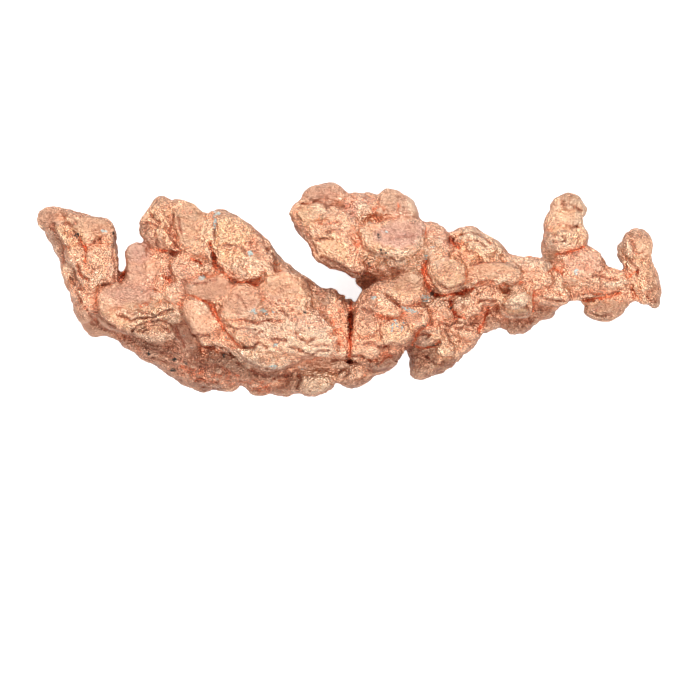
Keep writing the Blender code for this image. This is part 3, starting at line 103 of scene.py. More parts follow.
# Each lobe: the heights of its top, its widest level and its underside, then its outline from above.
LOBES = {
    # horn
    "horn_tip": (9.6, 8.3, 4.8, (-40.15, 9.2), (-39.7, 10.2), (-38.7, 10.55), (-37.2, 10.65), (-35.6, 10.3),
        (-34.8, 9.2), (-35.6, 8.2), (-37.4, 7.4), (-38.8, 6.7), (-39.9, 7.9)),
    "horn_head": (10.9, 9.5, 4.0, (-36.3, 10.2), (-34.6, 9.8), (-32.6, 9.3), (-31.2, 9.0), (-30.5, 8.0),
        (-30.0, 6.3), (-31.0, 6.0), (-32.2, 6.2), (-33.6, 5.5), (-34.4, 5.9), (-35.0, 6.8), (-35.9, 7.9),
        (-36.6, 9.0)),
    "horn_ear": (10.2, 9.2, 4.0, (-38.0, 7.6), (-37.0, 8.2), (-36.0, 8.0), (-35.0, 6.8), (-34.5, 5.8),
        (-35.5, 5.5), (-36.7, 5.7), (-37.5, 6.5)),
    "horn_throat": (11.5, 9.8, 3.4, (-33.8, 5.3), (-32.4, 6.0), (-31.0, 6.1), (-30.1, 5.9), (-30.0, 4.6),
        (-29.8, 3.0), (-29.7, 1.6), (-30.4, 0.8), (-31.9, 1.0), (-32.9, 2.2), (-33.7, 3.6)),
    "horn_cheek": (10.9, 9.7, 4.0, (-36.3, 5.0), (-35.3, 5.5), (-34.2, 5.5), (-33.8, 4.2), (-33.9, 2.9),
        (-34.9, 2.6), (-35.9, 2.9), (-36.5, 3.9)),
    "horn_oval": (11.0, 9.6, 3.6, (-34.9, 2.5), (-34.0, 2.9), (-32.9, 2.5), (-32.0, 1.4), (-31.7, 0.5),
        (-33.0, 0.1), (-34.3, 0.7), (-35.0, 1.6)),
    "horn_flank": (8.6, 6.4, 3.6, (-39.6, 7.7), (-37.6, 7.4), (-36.2, 5.0), (-35.2, 2.0), (-35.0, -0.2),
        (-36.2, -0.3), (-36.8, 0.5), (-37.0, 1.7), (-37.45, 2.7), (-37.35, 3.7), (-37.9, 4.8), (-38.3, 5.8),
        (-39.0, 6.9)),
    "horn_root": (10.4, 7.4, 2.6, (-36.1, -0.4), (-35.2, 0.6), (-33.6, 0.6), (-32.4, -0.4), (-32.2, -2.0),
        (-32.9, -3.6), (-34.0, -4.6), (-35.1, -4.2), (-35.4, -2.9), (-35.8, -1.4)),
    "horn_heel": (7.8, 5.2, 2.0, (-35.2, -3.9), (-34.2, -3.0), (-32.0, -3.2), (-30.2, -4.6), (-29.2, -6.2),
        (-30.4, -6.35), (-31.6, -6.0), (-32.8, -6.05), (-33.8, -5.6), (-34.7, -4.8)),
    # shoulder
    "shoulder": (12.3, 10.7, 3.0, (-32.6, -2.0), (-32.0, -0.3), (-30.6, 0.6), (-29.2, 0.9), (-27.5, 0.9),
        (-25.5, 0.4), (-24.0, -0.7), (-24.4, -2.0), (-27.0, -2.3), (-30.0, -2.6), (-31.8, -3.0)),
    "fold_lobe": (11.3, 9.6, 2.0, (-32.5, -3.0), (-31.6, -2.2), (-29.0, -2.1), (-26.0, -1.9), (-23.0, -2.0),
        (-21.7, -3.2), (-21.8, -5.0), (-22.5, -6.6), (-24.2, -7.2), (-26.4, -6.9), (-28.2, -6.1),
        (-30.0, -5.3), (-31.6, -4.4)),
    "fold_lip": (11.4, 10.7, 6.0, (-28.0, -5.9), (-27.2, -4.9), (-25.4, -4.3), (-23.6, -4.6), (-22.4, -5.6),
        (-22.6, -6.5), (-24.2, -6.8), (-26.4, -6.6)),
    "fold_plate": (11.3, 10.4, 6.0, (-30.4, -3.9), (-29.2, -3.6), (-28.0, -4.2), (-27.4, -5.2), (-28.4, -5.8),
        (-29.8, -5.1)),
    "knob": (12.7, 11.7, 6.0, (-28.6, 4.2), (-28.5, 5.0), (-28.0, 5.6), (-27.3, 5.85), (-26.6, 5.6),
        (-26.0, 5.0), (-26.0, 4.2), (-26.9, 3.8), (-28.0, 3.7)),
    "knob_body": (12.3, 10.7, 3.0, (-28.6, 3.4), (-28.5, 2.4), (-28.9, 1.2), (-28.2, 0.2), (-26.4, 0.0),
        (-24.8, 0.5), (-24.7, 2.0), (-25.2, 3.7), (-26.4, 3.9), (-28.0, 3.8)),
    "saddle": (11.9, 10.5, 4.0, (-26.3, 5.1), (-25.0, 5.1), (-23.2, 4.9), (-22.6, 4.2), (-22.9, 2.6),
        (-23.6, 1.4), (-24.8, 1.4), (-25.4, 3.2), (-26.3, 4.2)),
    "centre_knob": (13.2, 12.0, 5.0, (-23.0, 3.6), (-22.4, 4.4), (-21.6, 4.7), (-20.3, 4.1), (-19.2, 3.1),
        (-18.4, 2.1), (-18.9, 1.3), (-20.4, 1.2), (-21.6, 0.9), (-22.7, 1.6)),
    "junction": (12.4, 11.2, 5.0, (-24.0, 0.0), (-22.8, 1.0), (-20.9, 1.0), (-20.4, 0.0), (-20.7, -1.0),
        (-21.5, -2.1), (-22.8, -1.9), (-23.9, -1.1)),
    "trough": (10.6, 7.6, 3.0, (-23.4, -5.2), (-22.2, -3.2), (-20.8, -3.0), (-19.8, -4.8), (-18.8, -6.6),
        (-19.6, -8.4), (-21.4, -8.6), (-22.8, -7.0)),
    # fist
    "fist": (13.3, 11.5, 5.4, (-26.95, 8.6), (-26.6, 9.5), (-25.9, 10.3), (-25.3, 11.0), (-24.7, 11.5),
        (-23.8, 11.5), (-22.8, 11.1), (-22.3, 9.4), (-22.3, 7.0), (-22.2, 5.2), (-23.4, 4.9), (-24.8, 5.0),
        (-25.7, 5.7), (-26.6, 6.7), (-26.85, 7.8)),
    "fist_brow": (13.5, 12.6, 8.0, (-25.6, 10.2), (-24.8, 11.1), (-23.8, 11.2), (-22.9, 10.4), (-23.2, 9.2),
        (-24.2, 8.8), (-25.3, 9.2)),
    "fist_palm": (13.4, 12.5, 8.0, (-25.8, 8.6), (-24.8, 8.9), (-23.6, 8.2), (-23.0, 6.6), (-23.4, 5.6),
        (-24.6, 5.9), (-25.6, 7.0)),
    "fist_back": (14.1, 12.2, 4.6, (-22.9, 11.2), (-21.6, 11.3), (-20.5, 10.75), (-19.4, 10.3), (-18.6, 9.5),
        (-18.0, 7.8), (-17.9, 5.6), (-18.4, 4.3), (-19.6, 3.9), (-21.2, 4.6), (-22.0, 6.0), (-22.5, 8.4)),
    "long_lobe_head": (13.5, 11.7, 5.0, (-18.5, 9.2), (-18.1, 9.8), (-17.4, 10.05), (-16.6, 9.9),
        (-16.3, 8.4), (-16.8, 6.4), (-17.4, 4.6), (-17.9, 6.0), (-18.3, 7.8)),
    "gap_lump": (12.6, 11.4, 6.0, (-19.3, 3.0), (-18.5, 3.4), (-17.8, 3.6), (-17.4, 3.0), (-17.4, 2.2),
        (-18.0, 1.7), (-18.7, 2.0)),
    "long_lobe": (14.4, 12.4, 4.4, (-17.4, 9.6), (-16.4, 9.9), (-15.2, 9.5), (-13.6, 8.6), (-12.2, 7.6),
        (-12.0, 6.4), (-13.4, 5.4), (-15.6, 5.0), (-17.3, 5.2), (-17.5, 7.4)),
    "long_lobe_left": (14.0, 12.5, 5.0, (-17.3, 5.6), (-15.6, 5.9), (-13.4, 5.7), (-12.6, 4.2), (-12.7, 2.4),
        (-13.4, 1.4), (-14.6, 1.4), (-15.6, 2.2), (-17.0, 3.2)),
    "long_lobe_foot": (13.6, 11.6, 4.4, (-13.2, 6.4), (-12.2, 7.4), (-11.0, 6.7), (-9.9, 5.6), (-9.2, 4.2),
        (-9.6, 2.8), (-10.8, 1.9), (-12.4, 1.4), (-13.2, 2.8), (-13.2, 4.8)),
    "shoulder_slope": (12.2, 8.8, 3.6, (-10.6, 4.7), (-9.3, 4.2), (-8.0, 3.1), (-6.6, 2.1), (-5.0, 1.1),
        (-3.8, 0.1), (-4.8, -0.8), (-7.2, 0.0), (-9.8, 1.2), (-11.2, 2.8)),
    # belly
    "belly_nose": (14.1, 13.0, 5.0, (-20.9, 0.1), (-20.4, 1.0), (-19.4, 1.5), (-18.0, 1.4), (-16.8, 1.8),
        (-15.8, 1.5), (-15.1, 0.6), (-14.7, -0.6), (-15.4, -2.4), (-16.6, -2.9), (-17.7, -1.9), (-19.0, -1.3),
        (-20.4, -0.8)),
    "belly_crown": (14.7, 13.4, 5.0, (-15.7, -0.4), (-14.6, 0.4), (-13.2, 0.5), (-12.0, 0.1), (-11.1, -0.8),
        (-11.0, -2.4), (-12.2, -4.0), (-14.6, -4.3), (-16.2, -3.9), (-16.6, -2.2)),
    "belly_cheek": (14.5, 12.9, 4.0, (-11.4, 0.4), (-10.5, 1.4), (-9.0, 2.1), (-7.4, 2.1), (-5.8, 1.3),
        (-5.0, 0.0), (-4.8, -1.8), (-6.0, -3.2), (-8.4, -3.6), (-10.6, -3.2), (-11.5, -1.4)),
    "belly": (14.5, 12.7, 3.0, (-16.0, -5.0), (-14.8, -4.1), (-12.0, -3.6), (-9.0, -2.8), (-6.0, -2.4),
        (-4.0, -2.8), (-2.7, -4.2), (-1.9, -5.8), (-1.6, -7.2), (-2.4, -8.5), (-5.0, -8.8), (-8.0, -8.6),
        (-11.0, -8.2), (-13.2, -7.6), (-14.8, -6.6)),
    "belly_lip": (13.3, 11.9, 3.0, (-14.7, -8.0), (-13.4, -7.2), (-11.4, -7.2), (-9.2, -7.8), (-6.6, -8.2),
        (-6.2, -9.2), (-8.2, -10.2), (-10.4, -10.6), (-12.8, -9.6)),
    "crack_bank": (12.4, 8.8, 2.4, (-6.0, 1.5), (-4.6, 0.6), (-3.1, -0.1), (-2.2, -0.1), (-1.2, -0.9),
        (-0.2, -1.9), (0.0, -4.0), (0.0, -6.4), (-0.1, -8.8), (-1.6, -9.0), (-3.0, -7.0), (-4.0, -4.2),
        (-5.4, -1.6)),
    "cracked_lobe": (13.4, 11.9, 4.0, (-21.3, -2.6), (-20.8, -1.5), (-19.9, -1.0), (-18.6, -1.6),
        (-17.8, -2.3), (-17.2, -3.6), (-16.8, -5.0), (-17.4, -5.9), (-18.8, -6.0), (-20.0, -5.6),
        (-20.8, -4.7), (-21.3, -3.7)),
    "cracked_foot": (12.5, 11.2, 4.0, (-19.6, -6.2), (-18.2, -5.4), (-17.1, -4.4), (-16.2, -5.2),
        (-15.2, -6.4), (-14.2, -7.5), (-15.4, -8.0), (-17.2, -7.5), (-18.9, -7.2)),
    # lower flank
    "flank_left": (9.7, 5.6, 1.0, (-30.2, -6.4), (-27.5, -5.8), (-24.0, -6.0), (-21.0, -5.4), (-18.6, -7.4),
        (-17.6, -9.8), (-18.6, -12.0), (-20.2, -12.7), (-21.7, -12.1), (-23.2, -11.2), (-24.8, -10.0),
        (-26.4, -9.2), (-28.2, -8.1)),
    "flank_middle": (9.4, 5.8, 1.0, (-20.6, -8.4), (-18.0, -6.8), (-14.6, -7.6), (-11.0, -9.0), (-7.4, -9.6),
        (-7.4, -11.4), (-10.4, -12.4), (-14.0, -12.3), (-17.4, -12.5), (-20.2, -11.8)),
    "flank_step": (8.4, 6.4, 3.0, (-25.2, -9.4), (-23.4, -8.4), (-20.8, -9.2), (-18.6, -10.6), (-16.2, -11.0),
        (-16.6, -12.2), (-19.4, -12.0), (-22.2, -11.5), (-24.2, -10.5)),
    "bead_far_left": (6.6, 4.6, 2.2, (-20.6, -12.6), (-19.8, -11.7), (-18.4, -11.3), (-17.3, -12.0),
        (-17.4, -12.95), (-18.6, -13.2), (-19.8, -13.1)),
    "bead_left": (6.4, 4.4, 2.2, (-17.6, -12.6), (-16.4, -11.6), (-15.0, -11.5), (-14.2, -12.2),
        (-14.7, -13.0), (-16.0, -13.2), (-17.3, -13.05)),
    "bead_middle": (6.4, 4.4, 2.0, (-13.9, -12.2), (-12.6, -11.5), (-11.0, -11.4), (-10.1, -12.4),
        (-10.4, -13.5), (-11.6, -13.55), (-12.5, -13.3)),
    "bead_dark": (8.2, 5.4, 1.6, (-10.6, -12.8), (-10.0, -11.6), (-8.8, -11.1), (-7.6, -11.2), (-7.0, -12.4),
        (-7.6, -13.6), (-8.9, -13.85), (-10.2, -13.7)),
    "bead_notch": (9.0, 6.6, 3.0, (-8.0, -11.6), (-7.2, -10.7), (-6.1, -10.9), (-6.0, -12.4), (-6.6, -13.35),
        (-7.8, -13.2)),
    "bead_bright": (9.9, 6.6, 1.6, (-6.7, -11.4), (-5.4, -10.4), (-3.4, -10.2), (-2.2, -10.9), (-2.1, -11.9),
        (-2.7, -12.9), (-3.8, -13.5), (-5.6, -13.65), (-6.6, -13.0)),
    "bead_curl": (9.6, 6.4, 2.0, (-2.1, -10.5), (-1.6, -9.4), (0.0, -9.2), (2.0, -9.4), (3.1, -10.5),
        (2.4, -11.8), (1.2, -12.55), (0.0, -12.8), (-1.0, -12.2), (-1.8, -11.7)),
    "belly_undercut": (9.4, 6.4, 1.6, (-9.0, -10.6), (-7.6, -9.2), (-5.0, -8.6), (-2.0, -8.6), (0.0, -9.2),
        (-1.2, -10.4), (-3.6, -10.8), (-6.4, -11.2)),
    # chest
    "chest": (13.0, 10.9, 2.2, (0.35, -2.6), (1.0, -1.2), (1.9, -0.2), (3.6, 0.2), (4.8, -0.9), (4.7, -2.6),
        (3.9, -4.2), (3.8, -5.8), (2.6, -6.4), (1.2, -6.6), (0.3, -6.2), (0.25, -4.2)),
    "chest_lower": (12.4, 10.5, 2.2, (0.3, -6.6), (1.6, -6.2), (3.2, -6.0), (4.1, -6.8), (4.0, -8.2),
        (2.8, -8.9), (1.4, -8.7), (0.3, -9.3)),
    "collar": (13.7, 11.8, 4.0, (2.2, 0.1), (4.0, 0.8), (5.8, 1.6), (7.4, 2.2), (8.7, 2.3), (9.3, 1.8),
        (9.7, 0.5), (9.9, -0.8), (9.0, -1.7), (7.6, -2.2), (6.0, -1.9), (4.8, -0.9), (3.2, -0.6)),
    "breast": (13.4, 12.0, 5.0, (2.6, -1.8), (3.4, -0.6), (4.8, -0.8), (6.2, -1.9), (6.7, -3.1), (5.6, -3.7),
        (4.2, -3.7), (2.9, -3.2)),
    "cheek": (13.2, 11.5, 3.0, (3.9, -4.4), (5.2, -3.9), (6.8, -3.9), (7.9, -4.6), (8.3, -5.8), (7.9, -6.7),
        (7.0, -7.2), (5.4, -7.3), (4.2, -6.9), (3.7, -5.6)),
    "cheek_knob": (12.7, 11.7, 5.0, (6.8, -2.6), (8.2, -2.1), (9.7, -2.0), (10.3, -3.0), (10.2, -4.2),
        (9.3, -5.0), (8.4, -5.4), (7.8, -4.4), (7.0, -3.8)),
    "jaw": (10.8, 7.6, 2.6, (0.4, -8.6), (2.4, -7.8), (4.0, -6.8), (6.0, -6.7), (7.0, -7.3), (6.8, -8.4),
        (6.4, -9.3), (5.7, -10.0), (4.6, -10.75), (3.2, -11.0), (2.2, -10.4), (0.6, -9.6)),
    "jaw_bead": (10.4, 9.4, 5.0, (3.6, -9.9), (4.4, -9.0), (5.6, -8.2), (6.6, -8.3), (6.3, -9.3),
        (5.4, -10.1), (4.3, -10.6)),
    # wing
    "wing": (13.9, 11.8, 6.0, (-7.75, 9.6), (-7.4, 10.6), (-6.7, 11.3), (-5.4, 11.1), (-3.0, 10.9),
        (-1.0, 10.3), (0.4, 9.4), (1.3, 8.0), (1.3, 6.4), (1.7, 4.4), (2.1, 2.6), (1.2, 1.5), (0.4, 1.5),
        (-0.6, 1.95), (-2.2, 2.6), (-3.6, 3.2), (-4.4, 4.1), (-4.75, 5.0), (-5.5, 5.9), (-6.4, 7.0),
        (-7.2, 8.3)),
    "wing_corner": (14.3, 13.2, 7.0, (-6.8, 9.2), (-6.2, 10.2), (-4.4, 10.9), (-3.0, 10.9), (-2.7, 9.7),
        (-3.8, 8.8), (-5.6, 8.3)),
    "wing_plate": (14.2, 13.3, 8.0, (-5.4, 7.6), (-4.0, 8.1), (-1.8, 8.3), (0.2, 7.8), (0.6, 6.0), (0.4, 4.2),
        (-1.6, 4.0), (-3.6, 4.9), (-4.8, 6.2)),
    "wing_top": (12.9, 11.1, 6.2, (-6.0, 11.0), (-5.7, 12.1), (-5.1, 12.9), (-4.0, 13.3), (-3.0, 13.55),
        (-1.9, 13.65), (-1.1, 13.2), (-0.5, 12.5), (0.1, 11.8), (-0.4, 10.6), (-2.6, 10.2), (-4.8, 10.4)),
    "wing_bridge": (12.7, 10.8, 5.6, (-0.3, 11.7), (0.5, 12.15), (1.5, 12.05), (2.3, 11.5), (2.9, 10.9),
        (2.8, 9.4), (2.2, 8.6), (0.8, 8.7), (-0.4, 9.8)),
    "crown": (13.3, 11.3, 5.4, (3.1, 11.2), (3.5, 12.1), (4.1, 12.4), (4.6, 12.85), (5.4, 12.85), (6.3, 12.5),
        (7.3, 11.9), (8.2, 11.3), (8.7, 10.6), (9.0, 9.9), (9.3, 9.0), (8.0, 8.4), (6.0, 8.3), (4.0, 8.6),
        (3.0, 9.6)),
    "crown_right": (13.6, 12.6, 7.0, (6.1, 10.6), (6.6, 11.5), (7.8, 11.2), (8.6, 10.2), (8.6, 9.2),
        (7.2, 9.0), (6.2, 9.4)),
    "saddle_top": (15.2, 13.8, 6.0, (1.4, 7.0), (1.9, 8.0), (3.6, 8.7), (6.0, 8.8), (8.6, 8.7), (9.7, 7.9),
        (9.8, 6.4), (9.3, 5.0), (8.0, 4.2), (6.2, 4.0), (4.2, 4.0), (2.6, 4.4), (1.7, 5.5)),
    "saddle_under": (12.8, 11.4, 6.0, (4.4, 3.6), (5.4, 4.4), (7.5, 4.6), (9.4, 4.4), (9.8, 3.4), (9.0, 2.6),
        (7.6, 2.5), (5.8, 2.4), (4.8, 2.7)),
    "gap_roof": (12.2, 10.8, 7.0, (1.4, 4.2), (2.6, 4.6), (4.4, 4.4), (5.8, 3.6), (5.6, 2.4), (4.4, 2.2),
        (3.6, 3.3), (2.4, 3.4), (1.4, 3.0)),
    "gap_bead": (11.8, 11.0, 7.0, (2.3, 2.8), (2.9, 3.3), (3.8, 3.1), (4.2, 2.4), (3.7, 1.9), (2.8, 1.8)),
    "gap_ledge": (8.6, 6.6, 3.0, (0.8, 1.5), (1.8, 2.0), (4.0, 2.4), (6.4, 2.2), (6.2, 0.6), (4.0, -0.2),
        (2.2, -0.1), (1.6, 0.3), (1.1, 0.9)),
    "back_knob": (13.2, 11.5, 5.0, (9.6, 8.7), (10.8, 8.5), (11.8, 8.2), (12.3, 7.8), (12.6, 6.6),
        (12.4, 5.4), (11.0, 4.7), (9.9, 5.2), (9.5, 6.6)),
    "back_ridge": (12.4, 10.4, 4.4, (12.7, 7.2), (13.6, 7.5), (14.7, 7.7), (16.0, 7.85), (17.1, 7.4),
        (18.1, 6.7), (19.1, 6.0), (20.0, 5.1), (20.1, 4.2), (18.0, 3.9), (15.6, 3.6), (13.8, 4.2),
        (12.8, 5.6)),
    "back_fold": (12.9, 11.9, 6.0, (14.4, 6.6), (15.6, 7.2), (17.0, 6.8), (18.4, 5.8), (19.2, 5.0),
        (18.0, 4.5), (16.2, 4.4), (14.6, 5.2)),
    "back_saddle": (12.9, 11.5, 5.0, (9.6, 4.6), (11.0, 5.2), (12.8, 5.6), (14.2, 4.8), (14.6, 3.8),
        (13.0, 3.4), (11.0, 3.4), (9.8, 3.8)),
    # loin
    "round_knob": (14.4, 13.0, 5.0, (10.1, 3.2), (10.9, 3.8), (12.4, 3.9), (13.9, 3.5), (14.8, 2.5),
        (15.0, 1.3), (14.5, 0.2), (13.4, -0.4), (12.0, -0.3), (10.9, 0.3), (10.2, 1.5)),
    "bar_front": (13.1, 11.9, 4.4, (15.0, 1.4), (15.6, 2.7), (17.2, 3.5), (19.4, 3.5), (21.2, 3.0),
        (22.0, 2.0), (21.6, 1.0), (20.0, 0.7), (18.0, 1.1), (16.2, 0.8)),
    "bar_back": (11.6, 9.9, 4.2, (16.0, 3.6), (18.0, 4.3), (20.3, 4.5), (22.3, 3.95), (24.0, 4.05),
        (25.3, 3.75), (26.4, 2.8), (25.6, 1.8), (23.4, 1.8), (21.0, 2.2), (18.0, 2.6)),
    "bar_end": (11.9, 10.7, 4.4, (21.6, 1.7), (23.0, 2.3), (25.0, 2.3), (25.9, 1.6), (25.6, 0.5),
        (24.2, -0.1), (22.8, 0.2), (21.7, 0.8)),
    "loin_bead_left": (11.5, 10.4, 4.0, (13.2, -1.4), (14.0, -0.4), (15.5, 0.0), (16.4, -0.8), (17.0, -2.2),
        (16.3, -3.4), (14.9, -3.6), (13.7, -2.9)),
    "loin_bead_mid": (11.9, 10.7, 4.0, (15.9, 0.0), (17.4, 0.8), (19.2, 0.5), (19.9, -0.5), (19.1, -1.7),
        (17.5, -2.0), (16.2, -1.3)),
    "loin_pyramid": (11.8, 10.1, 3.6, (19.8, -0.6), (21.6, 0.1), (23.2, -0.2), (23.5, -1.8), (23.2, -3.3),
        (21.6, -3.8), (19.9, -3.6), (19.2, -2.2)),
    "pyramid_top": (12.2, 11.4, 7.0, (20.4, -1.6), (21.4, -0.4), (22.7, -0.4), (23.0, -1.4), (21.8, -2.0)),
    "loin_bead_right": (10.9, 9.6, 4.2, (24.0, -0.5), (25.6, 0.4), (27.3, 0.3), (28.5, -0.5), (28.4, -1.5),
        (27.5, -2.1), (26.0, -2.2), (24.3, -1.8)),
    "loin_skirt_right": (8.8, 6.4, 3.4, (23.6, -1.8), (25.0, -1.4), (27.2, -2.0), (26.6, -2.9), (25.9, -3.7),
        (24.6, -4.3), (23.2, -4.9)),
    "loin_skirt": (7.6, 5.4, 2.6, (18.4, -3.8), (20.0, -3.2), (22.4, -3.2), (24.2, -3.6), (23.9, -4.6),
        (22.9, -5.3), (21.7, -5.65), (20.8, -5.75), (20.4, -5.4), (20.2, -5.0), (18.8, -5.0)),
    "loin_web": (9.8, 7.0, 3.0, (16.8, -3.2), (18.0, -2.4), (19.6, -2.6), (19.8, -3.9), (19.2, -4.9),
        (17.6, -5.6), (16.6, -5.4)),
    "hollow_floor": (11.1, 9.7, 3.6, (9.8, -1.0), (11.6, -0.8), (13.0, -1.1), (13.4, -2.4), (13.4, -3.8),
        (12.0, -4.2), (10.6, -4.1), (9.8, -2.8)),
    "hollow_rim": (10.4, 8.9, 3.0, (10.6, -4.3), (12.4, -4.0), (14.6, -3.7), (16.6, -4.0), (16.9, -5.4),
        (16.6, -6.4), (14.4, -6.2), (12.6, -5.8), (11.4, -5.2)),
    # hip
    "hip_knob": (11.3, 10.0, 3.0, (8.6, -6.2), (9.1, -5.3), (10.3, -4.7), (11.8, -4.7), (12.5, -5.5),
        (12.0, -6.5), (10.9, -7.2), (9.5, -7.4), (8.8, -7.0)),
    "hip_bead": (10.6, 9.3, 3.0, (11.0, -7.7), (11.7, -6.7), (12.9, -6.6), (13.6, -7.3), (13.3, -8.3),
        (12.2, -8.7), (11.2, -8.3)),
    "hip_side": (8.9, 6.2, 2.6, (12.6, -6.0), (14.4, -5.7), (16.8, -5.9), (16.2, -6.8), (15.7, -7.6),
        (14.5, -8.6), (13.3, -9.4), (12.2, -7.8)),
    "hip": (8.4, 5.0, 0.8, (7.55, -7.3), (8.6, -6.6), (10.4, -7.0), (12.2, -7.8), (14.1, -8.7), (13.4, -9.6),
        (12.3, -10.4), (10.6, -11.2), (9.1, -11.55), (8.2, -11.2), (7.75, -10.4), (7.8, -9.4), (7.65, -8.3)),
    # tail
    "finger": (10.2, 8.9, 5.4, (25.05, 7.7), (25.15, 8.7), (25.5, 9.5), (25.8, 10.3), (26.05, 11.2),
        (26.6, 11.8), (27.4, 12.15), (28.5, 12.3), (29.5, 12.0), (30.15, 11.4), (30.5, 10.3), (30.2, 9.2),
        (30.0, 7.9), (28.4, 7.2), (26.6, 7.0)),
    "finger_cap": (10.7, 9.8, 6.0, (28.0, 11.2), (28.8, 11.7), (29.7, 11.4), (30.1, 10.7), (29.6, 10.2),
        (28.6, 10.5)),
    "finger_knuckle": (11.0, 9.6, 4.8, (25.0, 6.8), (25.5, 7.4), (27.0, 7.7), (28.6, 7.3), (29.2, 6.4),
        (29.2, 5.2), (28.0, 4.8), (26.6, 4.6), (25.5, 5.2)),
    "finger_side": (10.3, 9.0, 4.8, (28.4, 7.6), (29.8, 7.95), (30.5, 7.5), (30.7, 6.7), (30.4, 5.9),
        (29.6, 5.1), (28.8, 5.8)),
    "finger_shadow": (9.0, 6.8, 4.2, (24.7, 5.9), (25.5, 6.4), (26.6, 5.6), (27.2, 4.0), (26.4, 2.8),
        (25.6, 3.8), (25.0, 4.6)),
    "finger_root": (10.3, 8.8, 4.0, (26.4, 3.0), (26.8, 4.3), (28.2, 4.6), (30.0, 5.2), (30.8, 5.4),
        (31.5, 5.1), (32.1, 4.8), (32.6, 4.0), (32.9, 3.1), (31.8, 1.8), (30.2, 0.9), (28.4, 0.8),
        (27.2, 1.6)),
    "stub": (10.6, 9.7, 5.0, (25.5, 1.5), (25.9, 2.2), (26.7, 2.4), (27.3, 1.8), (27.2, 0.8), (26.3, 0.4),
        (25.6, 0.7)),
    "tail_web": (9.5, 8.1, 4.6, (30.8, 2.2), (32.0, 3.2), (33.2, 3.0), (34.3, 2.6), (35.2, 2.2), (36.0, 1.4),
        (36.3, 0.3), (34.0, 0.2), (32.0, 0.0), (31.0, 0.8)),
    "tail_bar": (9.0, 8.0, 4.8, (26.2, 0.2), (28.0, 0.9), (31.0, 0.7), (33.8, 0.7), (36.6, 0.7), (36.6, -0.6),
        (34.4, -0.9), (31.6, -1.5), (29.0, -1.75), (27.0, -1.6)),
    "tail_foot": (8.9, 7.5, 3.6, (30.15, -2.5), (30.6, -1.7), (32.0, -1.2), (33.8, -1.0), (35.4, -0.3),
        (36.7, -0.4), (36.7, -1.3), (36.1, -2.5), (35.2, -3.0), (34.3, -3.6), (33.3, -4.1), (32.2, -4.2),
        (31.2, -3.7), (30.3, -3.1)),
    "end_knob": (9.9, 8.6, 5.0, (35.3, 5.4), (35.6, 6.6), (36.2, 7.3), (37.1, 7.7), (38.0, 7.4), (38.9, 6.6),
        (39.4, 5.4), (39.2, 4.4), (37.8, 3.9), (36.2, 4.2)),
    "end_shadow": (8.2, 6.8, 4.8, (34.4, 5.1), (34.9, 6.0), (35.8, 6.4), (36.4, 4.4), (36.8, 2.0),
        (36.1, 1.3), (35.6, 2.4), (34.8, 4.0)),
    "end_stem": (9.4, 8.2, 4.8, (35.9, 3.2), (36.5, 4.2), (38.0, 4.7), (39.15, 4.7), (39.3, 3.2), (39.6, 1.8),
        (39.75, 0.4), (38.0, -0.4), (36.4, -0.2), (36.2, 1.4)),
    "end_foot": (8.5, 7.3, 3.8, (36.3, 0.2), (38.0, 0.8), (39.6, 0.9), (40.1, 0.2), (40.25, -1.2),
        (40.1, -2.1), (39.5, -2.6), (38.8, -2.15), (38.0, -1.85), (37.0, -1.65), (36.4, -0.9)),
}

# Rounded masses: middle, half sizes, and heading of the longer side in degrees.
MASSES = (  # inside and under the lobes
    (-20.4, -2.0, 6.8, 10.6, 5.6, 4.9, -14), (-8.4, -4.4, 7.2, 8.0, 5.0, 6.2, -10),
    (-17.5, 5.0, 8.0, 7.2, 3.2, 4.2, -28), (-14.2, 1.6, 7.6, 4.4, 2.4, 4.4, -20),
    (0.2, -5.8, 5.4, 2.4, 4.0, 4.0, 0), (5.4, -3.6, 7.2, 5.0, 3.6, 5.2, 40),
    (3.5, 6.2, 9.2, 7.6, 3.6, 4.0, -8), (13.4, 0.8, 7.2, 6.4, 4.4, 3.8, -4),
    (8.8, 1.6, 7.8, 4.0, 4.4, 4.6, 60), (11.6, -5.4, 6.2, 4.8, 2.6, 3.4, 32),
    (22.4, -0.2, 6.8, 6.4, 2.6, 3.0, 4), (29.6, 1.2, 7.2, 4.6, 1.8, 2.3, 0),
    (-33.4, 3.4, 7.2, 3.1, 6.2, 3.6, 14), (-25.0, 1.6, 7.6, 3.5, 3.2, 4.2, -10),
    (2.4, 9.4, 8.4, 6.6, 2.6, 3.8, -6),
)
FEET = (  # worn flat where the nugget rests
    (-24.0, -3.6, 3.4, 5.2, 3.4, 3.75, -20), (-14.6, 4.2, 4.0, 4.6, 2.8, 4.35, -30),
    (-9.4, -7.4, 3.6, 5.4, 3.2, 3.95, 6), (4.8, -4.8, 3.6, 4.4, 3.2, 3.95, 35),
    (7.4, 5.6, 4.6, 4.4, 2.9, 4.95, -12), (20.4, -1.2, 3.4, 4.4, 2.4, 3.72, 8),
)
